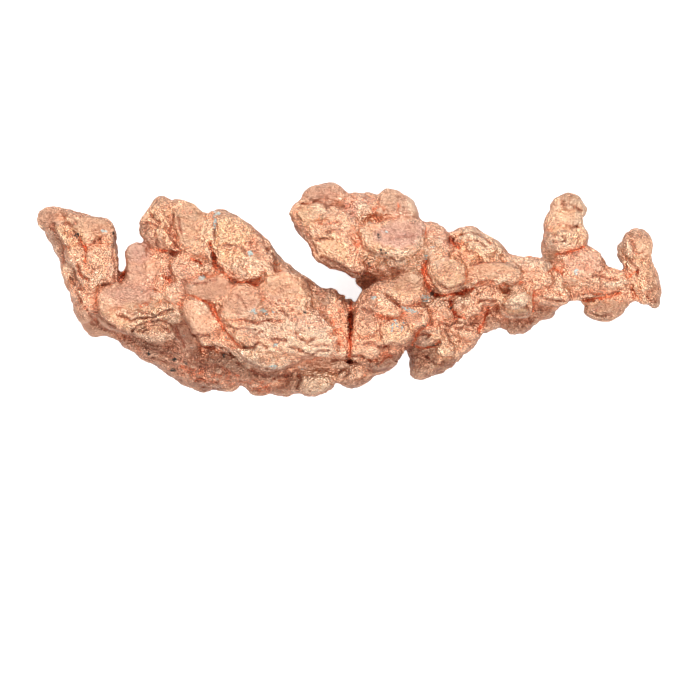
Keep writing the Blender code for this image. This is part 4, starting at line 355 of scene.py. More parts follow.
UNDER_LUMPS = (  # the knobbly underside
    (-34.6, 4.4, 4.9, 2.0, 3.0, 2.2, 16), (-37.8, 8.4, 5.6, 1.8, 1.4, 1.7, -30),
    (-32.6, -2.2, 3.4, 2.2, 2.4, 2.4, 30), (-27.0, 2.2, 4.0, 2.0, 2.2, 2.4, -10),
    (-21.8, 2.0, 3.4, 2.6, 2.2, 2.4, 30), (-22.8, 7.8, 6.0, 3.2, 2.6, 2.8, 20),
    (-12.6, -1.2, 3.2, 3.2, 2.2, 2.8, 70), (-18.4, -8.6, 3.0, 3.2, 2.4, 2.2, -24),
    (-18.0, -3.2, 3.0, 2.4, 2.0, 2.6, 20), (-4.6, -11.2, 3.6, 2.6, 1.6, 2.4, 0),
    (-3.0, -4.2, 3.6, 2.4, 3.4, 2.8, 10), (-6.8, -0.6, 4.0, 3.0, 2.0, 2.6, -24),
    (5.8, 0.0, 4.2, 2.6, 1.6, 2.4, 25), (0.8, -10.4, 4.2, 2.2, 1.6, 2.2, 20),
    (-4.4, 8.6, 7.0, 2.2, 2.2, 2.0, -34), (-0.6, 5.8, 6.8, 2.8, 2.2, 2.2, -34),
    (4.6, 10.2, 6.8, 2.6, 1.8, 2.2, -10), (12.4, 1.6, 4.2, 2.6, 2.4, 2.6, 20),
    (15.6, 5.2, 5.8, 3.2, 1.7, 2.2, -20), (12.6, -6.8, 3.6, 2.8, 2.0, 2.4, 40),
    (23.4, 2.2, 5.0, 2.4, 1.5, 1.6, 0), (28.2, 5.4, 5.6, 1.8, 3.2, 1.8, 6),
    (32.4, -0.2, 5.0, 2.8, 1.6, 1.6, -8), (37.9, 2.4, 5.2, 1.3, 3.2, 1.6, -6),
)
INFILL = (  # copper that closes the deepest hollows between lobes
    (-13.0, 1.55, 8.8, 2.8, 1.0, 5.0, 2), (-10.2, 2.4, 8.8, 1.6, 1.2, 4.8, 40),
    (5.0, 2.2, 9.0, 2.6, 0.7, 3.7, 14), (-17.6, 4.0, 9.0, 0.9, 3.2, 4.7, 0),
    (-17.0, 2.4, 9.0, 0.9, 0.8, 3.9, 0), (6.2, 3.2, 9.0, 3.4, 1.2, 4.6, 4), (8.8, 3.3, 9.0, 1.4, 1.6, 4.6, 0),
    (13.2, 6.2, 8.5, 0.8, 1.1, 3.6, 0), (21.6, -1.3, 8.5, 2.3, 1.3, 4.6, 22),
    (-12.6, 0.9, 8.6, 2.3, 1.0, 4.3, -5), (-19.4, 3.6, 8.6, 1.2, 0.8, 4.1, -20),
    (4.6, 2.7, 9.6, 2.2, 0.9, 3.2, 8), (-17.7, -2.9, 9.2, 3.6, 1.6, 4.85, -57),
    (-24.2, 1.0, 9.0, 1.6, 1.1, 3.1, -30), (-28.0, -2.3, 8.2, 4.6, 0.9, 3.4, -3),
    (-11.4, -1.6, 10.5, 0.9, 1.8, 3.8, 0), (-37.2, 8.5, 8.0, 1.6, 0.8, 2.5, -10),
    (6.6, 3.6, 10.0, 3.2, 1.4, 3.9, 0), (3.0, 9.9, 8.5, 1.3, 1.6, 4.8, 0), (9.6, 1.6, 8.4, 1.0, 1.8, 4.0, 0),
    (9.8, 4.6, 9.0, 1.2, 1.5, 4.6, 0), (20.9, 0.4, 8.0, 1.9, 1.1, 4.1, 0), (15.4, 3.2, 8.5, 1.3, 0.9, 3.5, 0),
    (15.2, 0.0, 8.0, 1.3, 1.1, 4.8, 0), (14.8, -4.0, 7.0, 1.5, 0.9, 3.9, 0),
    (28.6, 0.5, 7.0, 2.0, 0.8, 2.6, 0), (28.6, 10.4, 7.6, 1.9, 1.2, 3.2, -10),
    (26.9, 6.2, 8.0, 1.3, 0.9, 3.0, 0), (36.6, 5.6, 7.4, 0.9, 1.2, 2.5, 0),
)

# Cracks and folds in the upper side: depth, half width, then the points along each.
CREASES = {
    "main_crack": (2.6, 0.32, (0.2, -1.8), (0.12, -3.5), (0.1, -5.5), (0.05, -7.5), (0.05, -9.4)),
    "belly_crack": (1.2, 0.2, (-20.9, -0.9), (-20.0, -0.9), (-18.4, -1.7), (-17.7, -2.2), (-17.0, -3.5),
        (-16.1, -5.2), (-15.0, -6.4), (-14.0, -7.4)),
    "shoulder_gap": (1.0, 0.2, (-17.8, 5.9), (-17.4, 4.2), (-17.1, 2.5), (-15.9, 1.9), (-14.9, 0.8),
        (-13.2, 0.8), (-11.8, 0.3)),
    "fist_gap": (1.1, 0.2, (-20.2, 3.9), (-19.0, 3.2)),
    "fist_hollow": (0.8, 0.26, (-24.8, 4.9), (-23.4, 4.8), (-22.2, 4.6)),
    "fist_fold": (0.4, 0.26, (-22.7, 9.5), (-22.5, 7.6), (-22.1, 5.4)),
    "fist_wrinkle": (0.3, 0.2, (-25.4, 9.5), (-24.4, 8.4), (-23.4, 7.4)),
    "saddle_pit": (0.4, 0.22, (-23.8, 1.7), (-22.5, 0.8)),
    "shoulder_fold": (0.6, 0.26, (-30.2, 0.5), (-31.6, 0.4), (-32.5, -0.8), (-32.6, -2.2)),
    "shoulder_slit": (0.5, 0.21, (-27.6, -2.4), (-26.0, -2.1)),
    "fold_upper": (0.5, 0.22, (-29.4, -3.6), (-28.0, -4.0), (-26.4, -3.9), (-24.6, -3.6)),
    "horn_crack": (0.8, 0.24, (-35.0, 6.9), (-34.3, 5.8), (-33.8, 4.9), (-33.8, 3.4)),
    "horn_branch": (0.6, 0.22, (-33.8, 5.3), (-33.0, 5.8), (-32.0, 6.4)),
    "horn_curl": (0.6, 0.26, (-35.0, 3.0), (-34.6, 1.8), (-33.7, 1.0)),
    "horn_ledge": (0.18, 0.2, (-38.2, 8.5), (-36.6, 8.5), (-35.6, 8.1), (-35.0, 8.5)),
    "belly_ledge": (0.6, 0.24, (-15.9, -4.0), (-14.0, -4.1), (-12.0, -4.3), (-10.0, -4.0), (-8.6, -4.2)),
    "belly_fold": (0.6, 0.26, (-15.0, -7.6), (-13.4, -7.6), (-12.0, -7.5), (-11.6, -6.8)),
    "belly_pocket": (0.5, 0.26, (-10.2, -8.2), (-9.2, -8.5), (-8.0, -8.3)),
    "belly_dimple": (0.4, 0.3, (-9.9, -6.6), (-8.2, -6.5)),
    "cheek_crease": (0.5, 0.26, (-11.4, -0.6), (-11.0, -1.4), (-11.6, -2.4)),
    "chest_fold": (0.5, 0.26, (0.9, -6.2), (1.8, -6.5), (3.0, -6.0)),
    "chest_ledge": (0.6, 0.22, (0.4, -8.7), (1.4, -8.5), (2.6, -9.2), (3.4, -9.3)),
    "jaw_slit": (0.7, 0.22, (3.7, -9.9), (4.4, -9.1), (5.4, -8.6)),
    "breast_fold": (0.6, 0.26, (3.2, -3.4), (4.4, -3.8), (5.8, -3.8), (7.0, -3.4)),
    "collar_fold": (0.6, 0.26, (4.8, -0.8), (5.6, -1.7), (6.6, -2.3), (8.2, -2.2), (9.4, -1.7)),
    "neck_gap": (1.2, 0.3, (9.9, 3.6), (9.4, 2.4), (9.8, 1.0), (10.3, -0.2), (11.0, -0.7), (12.5, -0.8),
        (14.0, -0.6), (15.8, 0.0)),
    "neck_pit": (0.9, 0.3, (10.4, -0.3), (11.0, -0.7)),
    "hollow_slot": (1.0, 0.26, (12.9, -1.4), (13.1, -2.6), (13.7, -3.4), (14.8, -3.8)),
    "hip_gap": (1.6, 0.3, (10.2, -4.5), (9.0, -5.3), (8.5, -6.2), (8.1, -7.2)),
    "hip_fold": (1.2, 0.26, (8.6, -7.4), (9.8, -7.6), (10.9, -7.4), (11.5, -6.8)),
    "loin_slot": (1.0, 0.2, (18.0, -2.3), (17.4, -3.8), (16.7, -5.5)),
    "skirt_slot": (1.2, 0.21, (23.6, -0.7), (23.65, -2.9)),
    "bar_fold": (0.5, 0.2, (16.0, 0.9), (17.5, 1.1), (19.4, 0.7), (20.6, 0.4), (21.8, 0.8), (23.2, 0.7)),
    "knob_slit": (0.7, 0.21, (14.9, 2.6), (14.8, 0.6)),
    "back_slit": (0.9, 0.24, (12.9, 6.4), (13.4, 5.6), (14.0, 5.2)),
    "saddle_slit": (1.0, 0.2, (9.8, 7.7), (9.75, 6.7)),
    "saddle_edge": (0.45, 0.22, (2.7, 8.6), (1.6, 8.0), (1.1, 7.0), (1.3, 5.6), (2.0, 4.5)),
    "crown_slit": (0.6, 0.21, (6.2, 11.0), (6.1, 9.6)),
    "crown_edge": (0.35, 0.24, (2.8, 11.2), (3.0, 10.0), (3.2, 8.9), (5.0, 8.8), (8.6, 8.8)),
    "wing_fold": (0.3, 0.16, (-4.2, 8.4), (-3.0, 8.2), (-1.6, 8.5), (-0.6, 8.0)),
    "wing_crease": (0.5, 0.26, (-6.0, 10.8), (-4.4, 11.1), (-3.0, 10.8), (-1.6, 11.0), (-0.4, 10.2)),
    "wing_line": (0.3, 0.22, (-4.4, 6.2), (-3.0, 6.4), (-1.6, 6.1)),
    "knuckle_gap": (1.3, 0.27, (26.6, 4.4), (28.3, 4.7), (30.2, 5.4)),
    "knuckle_ring": (0.25, 0.2, (25.7, 6.3), (26.6, 5.9), (27.7, 6.2), (27.4, 7.0)),
    "finger_fold": (0.3, 0.2, (27.2, 11.1), (27.4, 10.6), (28.4, 10.7), (29.9, 10.1)),
    "finger_waist": (0.5, 0.26, (25.4, 7.7), (27.6, 8.0), (28.8, 8.0), (30.0, 7.9)),
    "stub_arch": (0.8, 0.22, (25.5, 2.1), (26.2, 2.6), (27.0, 2.3), (27.4, 1.7)),
    "tail_split": (1.2, 0.22, (30.1, -1.6), (31.4, -1.3), (33.2, -1.1), (34.2, -0.9), (34.9, -0.5)),
    "tail_groove": (0.35, 0.17, (29.0, 0.2), (31.0, 0.2), (33.4, 0.3), (35.4, 0.9)),
    "end_gap": (0.8, 0.22, (36.1, 1.6), (36.6, 2.2), (37.2, 2.2)),
    "end_fold": (0.25, 0.2, (36.2, 6.2), (36.4, 5.2), (37.0, 4.6), (38.2, 4.8)),
    "end_slit": (0.7, 0.22, (36.3, 0.2), (36.8, -0.8), (37.3, -1.3)),
}

# Gaps that are cut right down beside a lobe, given in the same way.
GAPS = {
    "horn_gap": (3.5, 0.22, (-29.4, 0.9), (-29.25, 1.8), (-29.1, 2.8), (-29.05, 3.6)),
    "long_gap": (2.6, 0.09, (-17.9, 5.9), (-17.75, 5.0), (-17.4, 4.2), (-17.3, 3.5), (-17.1, 2.7),
        (-16.6, 2.1)),
}

# Fine lines in the skin, from the horn to the tail, given in the same way.
WRINKLES = (
    (0.35, 0.2, (-38.3, 7.9), (-37.6, 7.0), (-37.2, 6.3), (-36.6, 5.6), (-36.0, 5.3)),
    (0.2, 0.18, (-38.2, 8.3), (-37.4, 8.6), (-36.4, 8.4), (-35.8, 8.0), (-35.2, 8.5)),
    (0.3, 0.16, (-36.2, 3.4), (-35.5, 2.5), (-35.2, 1.6), (-34.6, 0.6)),
    (0.3, 0.14, (-35.9, 1.4), (-35.4, 0.6), (-34.4, -0.2)),
    (0.25, 0.15, (-35.6, 7.4), (-35.0, 6.5), (-34.6, 5.7), (-34.0, 5.3), (-33.8, 4.7)),
    (0.3, 0.14, (-35.3, -0.3), (-34.9, -0.9), (-34.4, -1.7)),
    (0.4, 0.18, (-34.9, 3.0), (-34.8, 2.2), (-34.3, 1.5), (-33.5, 1.1)),
    (0.3, 0.16, (-33.9, -2.4), (-33.4, -3.5), (-32.5, -4.3)),
    (0.2, 0.12, (-33.6, 5.4), (-33.0, 5.8), (-32.1, 6.4)),
    (0.12, 0.14, (-33.4, -4.3), (-32.0, -5.0), (-30.4, -5.6), (-28.6, -6.2), (-27.2, -7.0), (-25.8, -7.9)),
    (0.22, 0.16, (-32.8, -2.2), (-32.5, -3.3), (-31.4, -4.2), (-30.2, -5.0), (-29.0, -5.5), (-28.0, -5.9)),
    (0.4, 0.16, (-31.8, 0.5), (-31.0, 0.6), (-30.1, 0.6)),
    (0.25, 0.16, (-30.3, 7.0), (-30.3, 5.6), (-30.4, 4.4), (-30.1, 2.8), (-30.2, 1.4)),
    (0.4, 0.15, (-29.6, -3.5), (-28.8, -3.7), (-28.0, -4.1), (-26.9, -3.8), (-25.0, -3.6), (-24.1, -3.1),
        (-23.2, -2.7), (-22.6, -2.8)),
    (0.25, 0.12, (-28.6, -3.0), (-27.6, -3.2), (-26.6, -3.0), (-25.6, -3.3), (-24.8, -3.2)),
    (0.35, 0.16, (-27.9, -6.0), (-26.8, -6.6), (-25.6, -7.2), (-24.2, -7.5), (-22.8, -7.4)),
    (0.35, 0.15, (-27.8, -5.4), (-26.9, -4.6), (-25.6, -4.2), (-24.2, -4.1), (-23.0, -4.6), (-22.3, -5.4),
        (-22.0, -6.3)),
    (0.12, 0.14, (-27.4, -6.9), (-26.2, -7.6), (-24.6, -8.1), (-22.8, -8.3), (-21.2, -8.3)),
    (0.3, 0.13, (-27.2, -5.5), (-26.2, -4.8), (-25.0, -4.6), (-23.8, -4.9), (-23.0, -5.6)),
    (0.3, 0.13, (-26.6, -5.6), (-25.8, -5.15), (-24.8, -5.1), (-23.9, -5.5)),
    (0.28, 0.15, (-26.6, 8.3), (-25.8, 8.5), (-25.0, 8.2), (-24.4, 7.8)),
    (0.12, 0.14, (-25.4, -8.9), (-24.0, -9.3), (-22.6, -9.7), (-21.2, -10.2), (-19.8, -10.6)),
    (0.3, 0.15, (-25.4, 9.4), (-24.9, 8.8), (-24.3, 8.3)),
    (0.28, 0.15, (-24.9, 7.6), (-24.8, 6.4), (-24.5, 5.5)),
    (0.28, 0.15, (-23.6, 8.2), (-23.1, 7.4), (-22.8, 6.4), (-22.2, 5.4)),
    (0.3, 0.14, (-22.4, -4.6), (-22.0, -5.7), (-21.6, -6.6), (-21.2, -7.4)),
    (0.3, 0.16, (-22.4, 9.3), (-22.8, 8.4), (-22.9, 7.2), (-22.3, 6.4)),
    (0.3, 0.15, (-21.9, 9.2), (-21.8, 8.0), (-21.4, 7.0)),
    (0.12, 0.14, (-21.6, -9.3), (-20.4, -9.5), (-19.4, -9.9), (-18.4, -10.5), (-17.6, -10.8)),
    (0.4, 0.18, (-21.3, -3.2), (-21.0, -4.2), (-20.3, -5.3), (-19.6, -6.3), (-19.0, -7.4)),
    (0.12, 0.14, (-20.3, -8.5), (-19.6, -9.2), (-18.6, -9.8)),
    (0.3, 0.15, (-20.0, -5.8), (-19.0, -5.9), (-17.9, -6.0)),
    (0.25, 0.14, (-19.9, -11.8), (-19.0, -11.6), (-18.1, -12.2)),
    (0.2, 0.12, (-19.6, 0.6), (-18.6, 0.7), (-17.8, 0.9), (-17.0, 1.1)),
    (0.4, 0.18, (-19.2, -7.2), (-18.2, -7.6), (-17.2, -7.3), (-16.0, -7.6), (-15.2, -8.4)),
    (0.12, 0.14, (-17.0, -9.9), (-16.2, -10.2), (-15.2, -10.7), (-14.2, -11.2)),
    (0.3, 0.15, (-17.0, 8.8), (-17.3, 7.4), (-17.3, 6.2)),
    (0.12, 0.14, (-16.0, 5.4), (-14.8, 5.5), (-13.8, 5.2), (-13.0, 4.4)),
    (0.25, 0.13, (-15.6, -4.7), (-14.4, -5.2), (-13.6, -5.0), (-12.8, -5.3), (-11.9, -5.2)),
    (0.25, 0.14, (-14.6, -9.4), (-13.4, -10.2), (-12.0, -10.9), (-10.4, -11.3), (-9.0, -11.1)),
    (0.25, 0.13, (-14.6, -0.6), (-13.6, -1.6), (-13.2, -2.6)),
    (0.3, 0.18, (-14.4, -8.2), (-13.4, -9.1), (-12.2, -9.8), (-11.0, -10.3), (-9.6, -10.5), (-8.2, -10.3),
        (-7.0, -9.5)),
    (0.3, 0.14, (-13.7, -7.2), (-13.0, -7.6), (-12.2, -7.4), (-11.6, -6.8), (-10.6, -7.6)),
    (0.3, 0.13, (-13.4, -4.0), (-12.6, -4.3), (-11.6, -4.35), (-10.8, -4.1), (-10.0, -4.0)),
    (0.2, 0.13, (-12.6, -5.7), (-11.8, -5.9), (-11.0, -5.5)),
    (0.25, 0.14, (-12.0, 7.8), (-11.3, 6.6), (-10.9, 5.6), (-10.2, 4.6), (-9.4, 3.8)),
    (0.35, 0.16, (-10.2, -12.0), (-9.6, -11.4), (-8.4, -11.1), (-7.4, -10.9), (-6.8, -10.4)),
    (0.3, 0.16, (-9.9, -6.6), (-9.2, -6.4), (-8.2, -6.7)),
    (0.25, 0.13, (-8.9, -2.8), (-8.4, -3.1), (-7.9, -3.5)),
    (0.3, 0.14, (-7.6, -7.4), (-6.6, -7.8), (-5.8, -8.2), (-4.8, -8.4), (-3.8, -8.0), (-2.6, -8.0)),
    (0.25, 0.13, (-6.9, -5.8), (-6.2, -6.5), (-5.4, -6.8), (-4.6, -6.5)),
    (0.4, 0.16, (-6.7, -10.6), (-6.4, -11.6), (-6.8, -12.8)),
    (0.2, 0.18, (-6.6, 9.2), (-6.0, 7.8), (-5.2, 6.6), (-4.6, 5.4), (-4.0, 4.4)),
    (0.3, 0.16, (-6.2, 10.8), (-5.2, 10.9), (-4.2, 11.1), (-3.2, 10.8), (-2.6, 10.4)),
    (0.2, 0.12, (-4.4, -7.4), (-3.4, -7.1), (-2.5, -7.4)),
    (0.2, 0.12, (-4.2, 6.1), (-3.2, 6.4), (-2.0, 6.3)),
    (0.15, 0.12, (-3.9, 8.4), (-3.3, 8.2), (-2.6, 8.4), (-1.6, 8.5)),
    (0.4, 0.18, (-3.6, 4.0), (-2.2, 3.5), (-1.0, 2.9), (0.2, 2.2), (1.4, 1.8)),
    (0.25, 0.14, (-3.6, 9.2), (-2.8, 9.8), (-2.9, 10.6)),
    (0.25, 0.13, (-2.9, 7.2), (-1.8, 7.5), (-0.9, 7.3)),
    (0.25, 0.13, (-2.9, 10.4), (-2.2, 10.7), (-1.2, 10.3), (-0.4, 10.6)),
    (0.4, 0.16, (-2.2, -9.3), (-1.2, -9.0), (-0.2, -9.2), (0.8, -9.5), (1.8, -9.7), (2.8, -9.9)),
    (0.3, 0.15, (-1.4, -10.8), (-0.9, -10.2), (-0.2, -10.4), (-0.1, -11.0), (-0.7, -11.4)),
    (0.35, 0.15, (0.4, -8.7), (1.4, -8.6), (2.2, -8.9), (2.8, -9.4)),
    (0.3, 0.16, (1.6, -2.6), (2.4, -2.9), (3.2, -3.0)),
    (0.35, 0.18, (1.8, -7.2), (2.8, -6.9), (3.6, -7.4), (4.4, -7.4), (5.6, -7.0), (6.6, -7.2)),
    (0.3, 0.15, (2.0, 5.4), (2.4, 4.8), (3.2, 4.4), (4.2, 4.3)),
    (0.3, 0.14, (3.9, -4.4), (3.8, -5.4), (4.1, -6.4)),
    (0.3, 0.14, (4.4, 3.7), (5.4, 3.9), (6.2, 3.5), (7.0, 3.7)),
    (0.3, 0.14, (4.7, -0.6), (5.2, -1.2), (5.9, -1.6), (6.5, -2.2)),
    (0.1, 0.12, (6.0, 6.6), (7.2, 6.7), (8.2, 6.6)),
    (0.35, 0.14, (9.3, -5.9), (9.8, -5.6), (10.2, -6.0), (9.8, -6.4)),
    (0.3, 0.15, (9.9, -8.7), (10.4, -9.4), (11.2, -9.6), (12.0, -9.9)),
    (0.3, 0.16, (10.6, 1.6), (11.2, 0.6), (12.2, 0.1), (13.4, 0.0), (14.4, 0.5)),
    (0.3, 0.14, (11.8, -4.4), (12.8, -4.8), (13.6, -4.4), (14.4, -4.4), (15.2, -4.7), (16.2, -4.4)),
    (0.35, 0.15, (12.9, -6.9), (12.7, -5.9), (12.2, -5.2)),
    (0.3, 0.14, (13.4, -5.2), (14.6, -5.0), (15.8, -5.4)),
    (0.3, 0.15, (14.2, 6.8), (15.4, 7.2), (16.8, 6.8), (18.0, 5.8)),
    (0.25, 0.13, (15.0, 6.2), (16.2, 6.2), (17.4, 5.4)),
    (0.2, 0.14, (15.6, 3.0), (17.0, 3.3), (18.6, 3.4), (20.2, 3.2), (21.4, 2.6)),
    (0.4, 0.16, (16.8, -1.6), (17.8, -1.5), (18.7, -1.6)),
    (0.15, 0.14, (19.6, -2.1), (20.4, -2.2), (21.4, -1.9), (22.0, -2.4), (22.8, -2.3)),
    (0.15, 0.14, (20.0, -3.4), (21.0, -3.6), (22.2, -3.2)),
    (0.3, 0.15, (24.6, -0.9), (25.4, -1.4), (26.4, -1.6), (27.6, -1.5)),
    (0.2, 0.13, (26.0, 6.0), (26.8, 5.9), (27.7, 6.1), (27.6, 6.6), (26.8, 6.7), (26.1, 6.9)),
    (0.25, 0.15, (27.3, 11.3), (27.4, 10.8), (28.2, 10.8), (29.0, 10.4), (29.9, 10.1)),
    (0.3, 0.14, (28.0, 8.2), (28.6, 7.9), (29.4, 8.0)),
    (0.3, 0.13, (29.4, -0.8), (30.8, -0.6), (32.2, -0.7), (33.4, -0.8), (34.6, -0.4)),
    (0.3, 0.14, (30.8, -2.9), (31.6, -3.3), (32.6, -3.5), (33.6, -3.2)),
    (0.3, 0.14, (31.2, 1.6), (32.4, 1.7), (33.4, 1.3), (34.6, 1.2)),
    (0.3, 0.14, (36.2, 3.8), (36.6, 2.8), (37.2, 2.4), (37.0, 1.7)),
    (0.2, 0.16, (36.2, 6.3), (36.5, 5.4), (36.4, 4.7), (37.2, 4.6), (37.8, 4.8)),
    (0.3, 0.14, (38.2, -0.8), (38.7, -1.4), (39.4, -1.7)),
)

# Patches of finish, of painted light and shade, and of relief, seen from above, from the horn to the tail: x
# and y of the middle, half the length, half the width, heading of the length in degrees, and strength.
WORN = (  # rubbed smooth
    (-38.4, 9.2, 1.8, 1.2, 0, 0.6), (-33.4, 8.0, 2.8, 1.4, -12, 0.6), (-32.8, -4.8, 2.6, 1.2, -30, 0.9),
    (-29.4, -2.6, 2.4, 1.6, -20, 0.5), (-28.5, -0.6, 3.6, 1.5, -5, 0.55), (-27.3, 4.8, 1.7, 1.3, 0, 1.0),
    (-27.0, 2.4, 2.2, 2.0, 0, 0.7), (-21.0, -6.6, 1.6, 2.6, 30, 0.3), (-20.6, 8.2, 2.0, 2.4, 0, 0.4),
    (-19.2, -3.8, 2.0, 2.0, -30, 0.5), (-17.8, 0.1, 3.0, 1.6, 0, 0.6), (-13.6, -1.8, 2.6, 1.8, 0, 0.5),
    (-8.4, 0.2, 2.6, 1.4, 0, 0.5), (-7.0, 1.2, 3.2, 1.0, -28, 0.5), (-4.6, 10.0, 1.8, 1.1, 10, 0.2),
    (-3.8, -9.8, 3.4, 0.7, 0, 0.8), (-3.2, 5.2, 2.2, 1.4, -30, 0.4), (-3.0, 12.0, 3.0, 1.5, 12, 0.5),
    (6.4, 7.0, 3.6, 1.6, 4, 0.75), (6.6, 10.6, 2.6, 2.0, -25, 0.5), (7.6, 0.8, 2.0, 1.2, 0, 0.4),
    (12.6, 2.2, 1.8, 1.6, 0, 0.2), (18.4, 2.4, 2.8, 0.8, 0, 0.4), (28.0, 9.8, 1.9, 2.4, 8, 0.5),
    (30.2, 3.4, 2.0, 1.6, 0, 0.2), (33.4, -2.4, 2.2, 1.0, 0, 0.4), (38.2, 5.6, 1.4, 1.4, 0, 0.4),
)
GOLDEN = (  # brighter, yellower metal: partly a real tint, partly painted highlight on faces turned to the light
    (-35.6, 7.2, 2.2, 2.2, 0, 0.7), (-33.0, 8.0, 2.6, 1.4, 0, 0.5), (-26.0, -3.8, 5.0, 1.8, -4, 0.8),
    (-24.2, 8.8, 2.2, 2.6, 0, 0.5), (-20.2, 8.0, 2.2, 3.2, 0, 0.6), (-15.2, 6.6, 2.6, 3.4, 0, 0.9),
    (-9.4, -4.6, 7.0, 4.0, 0, 0.3), (-8.0, 0.4, 3.4, 2.0, 0, 0.5), (-5.0, 9.4, 2.0, 1.8, 0, 0.8),
    (-4.4, -11.8, 2.2, 1.6, 0, 0.8), (-2.6, 5.0, 2.6, 1.8, -30, 1.0), (3.4, 5.2, 2.2, 2.0, 0, 0.7),
    (6.0, -5.6, 2.4, 1.8, 0, 0.6), (7.6, 0.6, 2.6, 1.8, 0, 0.6), (11.2, -8.6, 3.2, 2.4, 30, 0.6),
    (12.6, 1.8, 2.4, 2.2, 0, 0.8), (16.6, 5.4, 3.2, 1.8, -20, 0.7), (18.4, 2.4, 3.6, 1.2, 0, 0.5),
    (21.4, -1.8, 2.2, 1.8, 0, 0.8), (28.0, 9.4, 2.4, 3.4, 6, 0.8), (33.2, -2.6, 3.0, 1.4, 0, 0.7),
    (38.0, 2.8, 1.8, 4.6, 0, 0.5),
)
PINK = (  # pink films
    (-28.0, 0.4, 4.4, 2.6, 0, 0.6), (-27.3, 4.8, 1.9, 1.5, 0, 0.9), (-22.0, 1.4, 2.4, 2.2, 0, 0.4),
    (-8.6, -4.2, 6.0, 2.8, 0, 0.5), (-2.6, 12.2, 3.2, 1.4, 10, 0.4), (1.2, 10.4, 1.8, 1.8, 0, 0.8),
    (7.0, 7.0, 3.6, 1.7, 4, 1.0), (7.6, 10.2, 1.8, 1.8, 0, 0.5), (11.6, 5.6, 2.0, 2.0, 0, 0.6),
    (22.6, 3.4, 2.6, 0.8, 0, 0.6), (30.2, 3.4, 2.4, 1.8, 0, 0.4),
)
TARNISH_AND_SHADE = (  # brown: partly real tarnish, partly painted shade on faces turned away from the light
    (-39.4, 9.2, 1.6, 1.4, 0, 0.6), (-38.0, 5.6, 1.2, 3.6, 35, 0.8), (-36.8, 0.2, 0.9, 2.4, 15, 0.5),
    (-34.6, -3.2, 1.1, 2.6, 20, 0.6), (-34.6, 9.6, 3.4, 0.6, -14, 0.5), (-32.8, 8.4, 2.4, 1.2, -10, 0.35),
    (-32.4, -4.8, 3.6, 1.8, -28, 0.6), (-28.6, -0.4, 3.4, 1.4, -5, 0.4), (-27.4, 2.6, 1.4, 1.2, 0, 0.3),
    (-27.3, 4.8, 1.6, 1.2, 0, 0.45), (-26.2, 7.0, 0.8, 1.6, 0, 0.6), (-24.8, -5.6, 2.8, 1.6, 0, 0.35),
    (-24.6, 5.9, 1.4, 0.8, 0, 0.5), (-24.6, 11.2, 2.6, 0.8, 0, 0.4), (-24.4, -9.0, 7.0, 2.2, -28, 0.8),
    (-22.6, -8.0, 4.4, 1.4, -20, 0.7), (-21.2, -6.4, 1.6, 3.4, 26, 0.9), (-20.8, 8.6, 1.4, 2.4, 0, 0.3),
    (-18.6, -12.4, 2.6, 1.0, -4, 1.0), (-18.2, 0.0, 3.0, 1.4, 0, 0.45), (-16.6, -10.6, 4.0, 1.6, -10, 0.8),
    (-16.0, 9.6, 1.8, 0.6, -14, 0.5), (-14.8, -10.4, 6.0, 2.2, -4, 0.8), (-13.6, -1.6, 2.4, 1.6, 0, 0.25),
    (-11.6, 4.8, 1.0, 1.6, 0, 0.3), (-10.4, -0.2, 3.2, 0.9, 0, 0.3), (-9.4, -13.2, 3.0, 0.7, 0, 0.7),
    (-7.4, -12.4, 1.6, 1.4, 0, 0.5), (-6.2, 6.4, 3.2, 0.8, -58, 0.9), (-4.6, -13.0, 2.2, 0.7, 0, 0.5),
    (-4.0, -9.8, 3.6, 0.9, 0, 0.3), (-3.6, 12.4, 3.0, 1.2, 10, 0.4), (-3.4, -8.8, 3.0, 0.5, 4, 0.5),
    (-3.2, -0.8, 1.0, 1.6, 0, 0.6), (-2.6, -13.0, 3.6, 0.6, 14, 0.7), (-1.8, 2.6, 3.2, 0.8, -24, 0.9),
    (0.6, -12.3, 2.6, 0.7, 10, 0.9), (2.4, -2.4, 1.2, 2.4, 0, 0.35), (3.0, 0.8, 2.6, 0.6, 14, 0.6),
    (5.0, -9.6, 2.6, 0.9, 26, 1.0), (5.6, 11.4, 2.0, 1.6, 0, 0.4), (6.2, 1.0, 2.8, 1.2, 15, 0.3),
    (6.6, 6.9, 3.4, 1.6, 4, 0.3), (7.6, 0.8, 2.2, 1.2, 0, 0.4), (8.2, -8.4, 1.0, 2.2, 0, 0.9),
    (8.2, -3.8, 1.2, 0.9, 0, 0.3), (8.4, -7.6, 0.7, 1.4, 0, 0.9), (9.4, -8.8, 1.8, 2.8, 0, 0.7),
    (11.6, -10.6, 3.4, 0.8, 34, 0.9), (12.6, 2.0, 2.0, 1.8, 0, 0.2), (18.4, -4.4, 1.2, 0.8, 0, 0.6),
    (18.4, 2.4, 2.8, 0.9, 0, 0.2), (21.4, -3.0, 2.2, 0.8, 0, 0.4), (21.6, -4.6, 3.2, 1.4, 14, 0.6),
    (24.8, -3.2, 1.6, 1.2, 30, 0.5), (25.6, 4.6, 0.9, 2.2, 0, 0.8), (28.0, 11.8, 1.8, 0.6, 0, 0.5),
    (33.0, -3.0, 3.2, 1.4, 10, 0.6), (37.2, 7.0, 1.6, 0.7, 0, 0.5), (39.2, 1.0, 1.0, 3.8, 0, 0.4),
    (39.6, -2.0, 0.8, 0.8, 0, 0.6),
)
